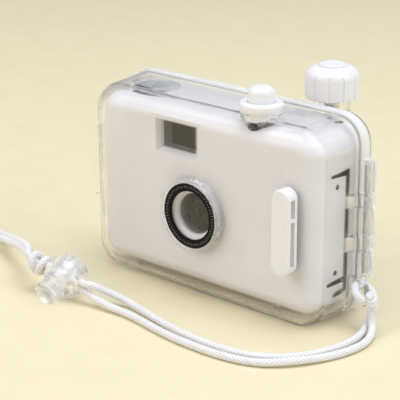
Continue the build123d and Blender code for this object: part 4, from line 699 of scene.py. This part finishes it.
def soft_edged(node_name, radius, name):
    """A copy of a CAD node with its sharp edges rounded by a radius in millimetres, and even faces."""
    node = frame["nodes"][node_name]
    piece = bpy.data.objects.new(name, node.data.copy())
    bpy.context.scene.collection.objects.link(piece)
    make_active(piece)
    bpy.ops.object.mode_set(mode="EDIT")
    bpy.ops.mesh.select_all(action="SELECT")
    bpy.ops.mesh.remove_doubles(threshold=SAME_PLACE)
    bpy.ops.mesh.customdata_custom_splitnormals_clear()
    bpy.ops.mesh.dissolve_limited(angle_limit=SAME_PLANE, delimit={"NORMAL"})
    bpy.ops.object.mode_set(mode="OBJECT")
    edge = piece.modifiers.new("edge", "BEVEL")
    edge.width = radius * MM
    edge.segments = NARROW_SEGMENTS if radius < WIDE_EDGE else WIDE_SEGMENTS
    edge.limit_method = "ANGLE"
    edge.angle_limit = SHARP_EDGE
    edge.use_clamp_overlap = True
    bpy.ops.object.modifier_apply(modifier="edge")
    bpy.ops.object.shade_smooth_by_angle(angle=SMOOTH_EDGE)
    even = piece.modifiers.new("even", "WEIGHTED_NORMAL")
    even.keep_sharp = True
    bpy.ops.object.modifier_apply(modifier="even")
    stand_for(piece, node_name)
    print(name, len(piece.data.polygons), "faces")
    return piece


# %% Soften the mouldings
edge_radii = {
    "front_shell": 0.3, "rear_shell": 0.3, "latch_lever": 0.25, "camera_front_cover": 0.25,
    "camera_back_frame": 0.2, "film_door": 0.25, "lens_bezel": 0.2, "finger_grip": 1.6,
    "plunger_collar": 1.1, "plunger_cap": 0.15, "wind_knob": 0.3, "knob_cap": 0.1, "toggle_body": 0.25,
    "toggle_button": 0.2, "winding_cover": 0.1, "shutter_button": 0.15, "rewind_knob": 0.2,
    "rewind_crank": 0.15, "door_latch": 0.15, "thumbwheel": 0.1,
}
moulded_pieces = {node: soft_edged(node, radius, node + "_moulding") for node, radius in edge_radii.items()}

# %% [markdown]
# ## Cord lock and rewind knob
# The cord lock is clear all through and has no flange, so it gets the clear nylon. The rewind knob is black.
# The grey over its back is a painted reflection of the case's flat top, and its black front shows through
# the case's rounded edge as a dark crescent. The border between the two colours is part of a wide circle, so
# it runs nearly straight across the knob.

# %% Finishes of the cord lock and the rewind knob
REWIND_BLACK = (0.004, 0.004, 0.005)
# The grey is a painted reflection of the case's flat top. The knob itself is black.
REWIND_REFLECTION_GREY = (0.50, 0.52, 0.53)
REFLECTION_CENTRE = Vector((-42.6, 31.0, 79.4)) * MM
REFLECTION_RADIUS = 40.0 * MM
REWIND_GRAIN = 900.0
REWIND_ROUGHNESS = (0.35, 0.5)
REWIND_SHINE = 0.1


def black_with_painted_reflection():
    """Black plastic with a painted reflection: grey within a radius of a centre and black outside it."""
    made, nodes, links, shader = new_material("rewind_black_and_reflection")
    place = nodes.new("ShaderNodeTexCoord")
    away = nodes.new("ShaderNodeVectorMath")
    away.operation = "DISTANCE"
    away.inputs[1].default_value = REFLECTION_CENTRE
    near = nodes.new("ShaderNodeMath")
    near.operation = "LESS_THAN"
    near.inputs[1].default_value = REFLECTION_RADIUS
    links.new(place.outputs["Object"], away.inputs[0])
    links.new(away.outputs["Value"], near.inputs[0])
    colour = two_tone(nodes, links, near.outputs["Value"], (REWIND_BLACK, REWIND_REFLECTION_GREY), (0, 1))
    links.new(colour, shader.inputs["Base Color"])
    fine = noise(nodes, links, REWIND_GRAIN)
    links.new(spread(nodes, links, fine, *REWIND_ROUGHNESS), shader.inputs["Roughness"])
    shader.inputs["Specular IOR Level"].default_value = REWIND_SHINE
    return made


rewind_black_and_reflection = black_with_painted_reflection()
for node in ("toggle_body", "toggle_button"):
    paint(moulded_pieces[node], clear_nylon)
# The rewind knob and crank are black, with a painted reflection in grey over their back.
for node in ("rewind_knob", "rewind_crank"):
    paint(moulded_pieces[node], rewind_black_and_reflection)
print("own finishes:", clear_nylon.name, rewind_black_and_reflection.name)

# %% [markdown]
# ## Painted shade in the side seams
# The seams of the camera's right side, where the back and its latch meet the cover, show as dark bands
# beside
# the hinge: shade in the gaps, and the dark chassis behind them. Each band is painted as a flat dark strip
# just proud of the wall.

# %% Painted shade strips in the seams
CAMERA_SIDE = 59.0
SHADE_STRIP_PROUD = 0.12
# Each band's corners on the wall, as distances back and up.
SHADED_SEAM_BANDS = (
    ((-6.6, 13.2), (-6.6, 65.2), (-4.3, 65.2), (-4.3, 13.2)),
    ((-16.2, 63.4), (-6.5, 62.6), (-4.3, 65.2), (-16.2, 64.3)),
    ((-17.4, 17.9), (-6.5, 17.4), (-6.5, 19.9), (-17.4, 19.2)),
    ((-13.2, 12.4), (-6.5, 12.6), (-6.5, 14.8), (-13.2, 13.8)),
)


def make_shade_strips():
    """Flat dark strips of painted shade on the camera's right side, one outline for each band."""
    mesh = bmesh.new()
    for outline in SHADED_SEAM_BANDS:
        lower = [mesh.verts.new(Vector((CAMERA_SIDE - SHADE_STRIP_PROUD, y, z)) * MM) for y, z in outline]
        upper = [mesh.verts.new(Vector((CAMERA_SIDE + SHADE_STRIP_PROUD, y, z)) * MM) for y, z in outline]
        mesh.faces.new(lower)
        mesh.faces.new(upper[::-1])
        for k in range(len(outline)):
            after = (k + 1) % len(outline)
            mesh.faces.new((lower[k], upper[k], upper[after], lower[after]))
    bmesh.ops.recalc_face_normals(mesh, faces=mesh.faces)
    data = bpy.data.meshes.new("seam_shade_strips")
    mesh.to_mesh(data)
    mesh.free()
    piece = bpy.data.objects.new("seam_shade_strips", data)
    bpy.context.scene.collection.objects.link(piece)
    paint(piece, painted_seam_shade)
    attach(piece, "case_front")
    return piece


# The strips paint the shade of the side seams.
seam_shade_strips = make_shade_strips()
print("seam shade strips", len(seam_shade_strips.data.polygons), "faces")

# %% [markdown]
# ## Marks on the lens ring
# The black ring round the port carries pale marks. Plain ticks are used here, each a thin raised bar, and
# two of every three stand a little further out. One bar is modelled and copied round the lens axis.

# %% Ticks
LENS_X = -2.3
LENS_Z = 37.3
RING_FACE_Y = -30.3
TICKS = 60
TICK_SIZE = (0.22 * MM, 0.1 * MM, 0.9 * MM)
TICK_EDGE = 0.03 * MM
TICK_RADIUS = 12.3 * MM
TICK_STEP = 0.25 * MM
TICK_GROUP = 3
tick_paint, _ = moulded(
    "tick_paint", dark=(0.24, 0.22, 0.20), light=(0.32, 0.30, 0.28),
    roughness=(0.5, 0.6), grain=1600.0, depth=0.00001)


def tick_ring():
    """A ring of raised bars on the black ring's face."""
    deselect_all()
    bpy.ops.mesh.primitive_cube_add(size=1, location=(0, 0, 0))
    bar = bpy.context.object
    bar.name = "lens_ring_ticks"
    bpy.ops.object.mode_set(mode="EDIT")
    bpy.ops.transform.resize(value=TICK_SIZE)
    bpy.ops.mesh.bevel(offset=TICK_EDGE, segments=1)
    bpy.ops.transform.translate(value=(0, 0, TICK_RADIUS))
    bpy.ops.object.mode_set(mode="OBJECT")
    source = bar.data.copy()
    mesh = bmesh.new()
    for k in range(TICKS):
        copy = source.copy()
        if k % TICK_GROUP:
            copy.transform(Matrix.Translation((0, 0, TICK_STEP)))
        copy.transform(Matrix.Rotation(2 * pi * k / TICKS, 4, "Y"))
        mesh.from_mesh(copy)
        bpy.data.meshes.remove(copy)
    bmesh.ops.translate(mesh, verts=mesh.verts, vec=Vector((LENS_X, RING_FACE_Y, LENS_Z)) * MM)
    mesh.to_mesh(bar.data)
    mesh.free()
    bpy.data.meshes.remove(source)
    paint(bar, tick_paint)
    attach(bar, "case_front")
    return bar


ring_ticks = tick_ring()
print("ticks", len(ring_ticks.data.polygons), "faces")

# %% [markdown]
# ## Strap: the CAD strap hidden
# The CAD nodes of both strands, the wrist loop, the knot and the tie are hidden, and the braided pieces take
# their place. The two strands end in the knot, and the wrist loop leaves the knot and comes back to it.

for name, node in (("braided_strand_a", "strap_cord_a"), ("braided_strand_b", "strap_cord_b"),
                   ("braided_wrist_loop", "strap_loop")):
    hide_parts(node)
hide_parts("strap_knot")
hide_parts("strap_hitch")


print("declared", len(cords), "cords")

# %% [markdown]
# ## Floor and light
# A pale floor stands for the paper backdrop. One large soft lamp from the front left gives the bright front.
# A second from above fills the top, and a third lights the right side. The first is a little warm and the
# others a little cool, and an even pale world keeps the shadows soft.

# %% Floor
FLOOR_SIZE = 6
deselect_all()
bpy.ops.mesh.primitive_plane_add(size=FLOOR_SIZE, location=(0, 0, 0))
floor = bpy.context.object
floor.name = "floor"
pale_paper, _ = moulded(
    "pale_paper", dark=(0.80, 0.71, 0.49), light=(0.82, 0.73, 0.51),
    roughness=(0.7, 0.8), grain=500.0, depth=0.00002)
paint(floor, pale_paper)
print("floor", FLOOR_SIZE, "m wide")

# %% Lamps and world
WARM = (1.0, 0.96, 0.94)
COOL = (0.86, 0.92, 1.0)
# Each lamp's name, place and size in metres, power in watts, and tint.
LAMPS = (
    ("front_lamp", (-0.55, -1.15, 0.9), 1.0, 8.5, WARM),
    ("top_lamp", (0.15, 0.1, 1.4), 1.0, 13.0, COOL),
    ("side_lamp", (1.2, 0.1, 0.6), 0.8, 5.5, COOL),
)
LOOK_AT = Vector((0, -0.01, 0.045))
WORLD_STRENGTH = 0.42
for name, place, size, power, tint in LAMPS:
    lamp = bpy.data.lights.new(name, "AREA")
    lamp.size = size
    lamp.energy = power
    lamp.color = tint
    lamp_object = bpy.data.objects.new(name, lamp)
    bpy.context.scene.collection.objects.link(lamp_object)
    lamp_object.location = place
    lamp_object.rotation_mode = "QUATERNION"
    lamp_object.rotation_quaternion = (Vector(place) - LOOK_AT).to_track_quat("Z", "Y")
world = bpy.data.worlds.new("studio")
world.use_nodes = True
background = world.node_tree.nodes["Background"]
background.inputs["Color"].default_value = (1, 1, 1, 1)
background.inputs["Strength"].default_value = WORLD_STRENGTH
bpy.context.scene.world = world
bpy.context.scene.view_settings.view_transform = "Standard"
print("lamps", [name for name, *_ in LAMPS])
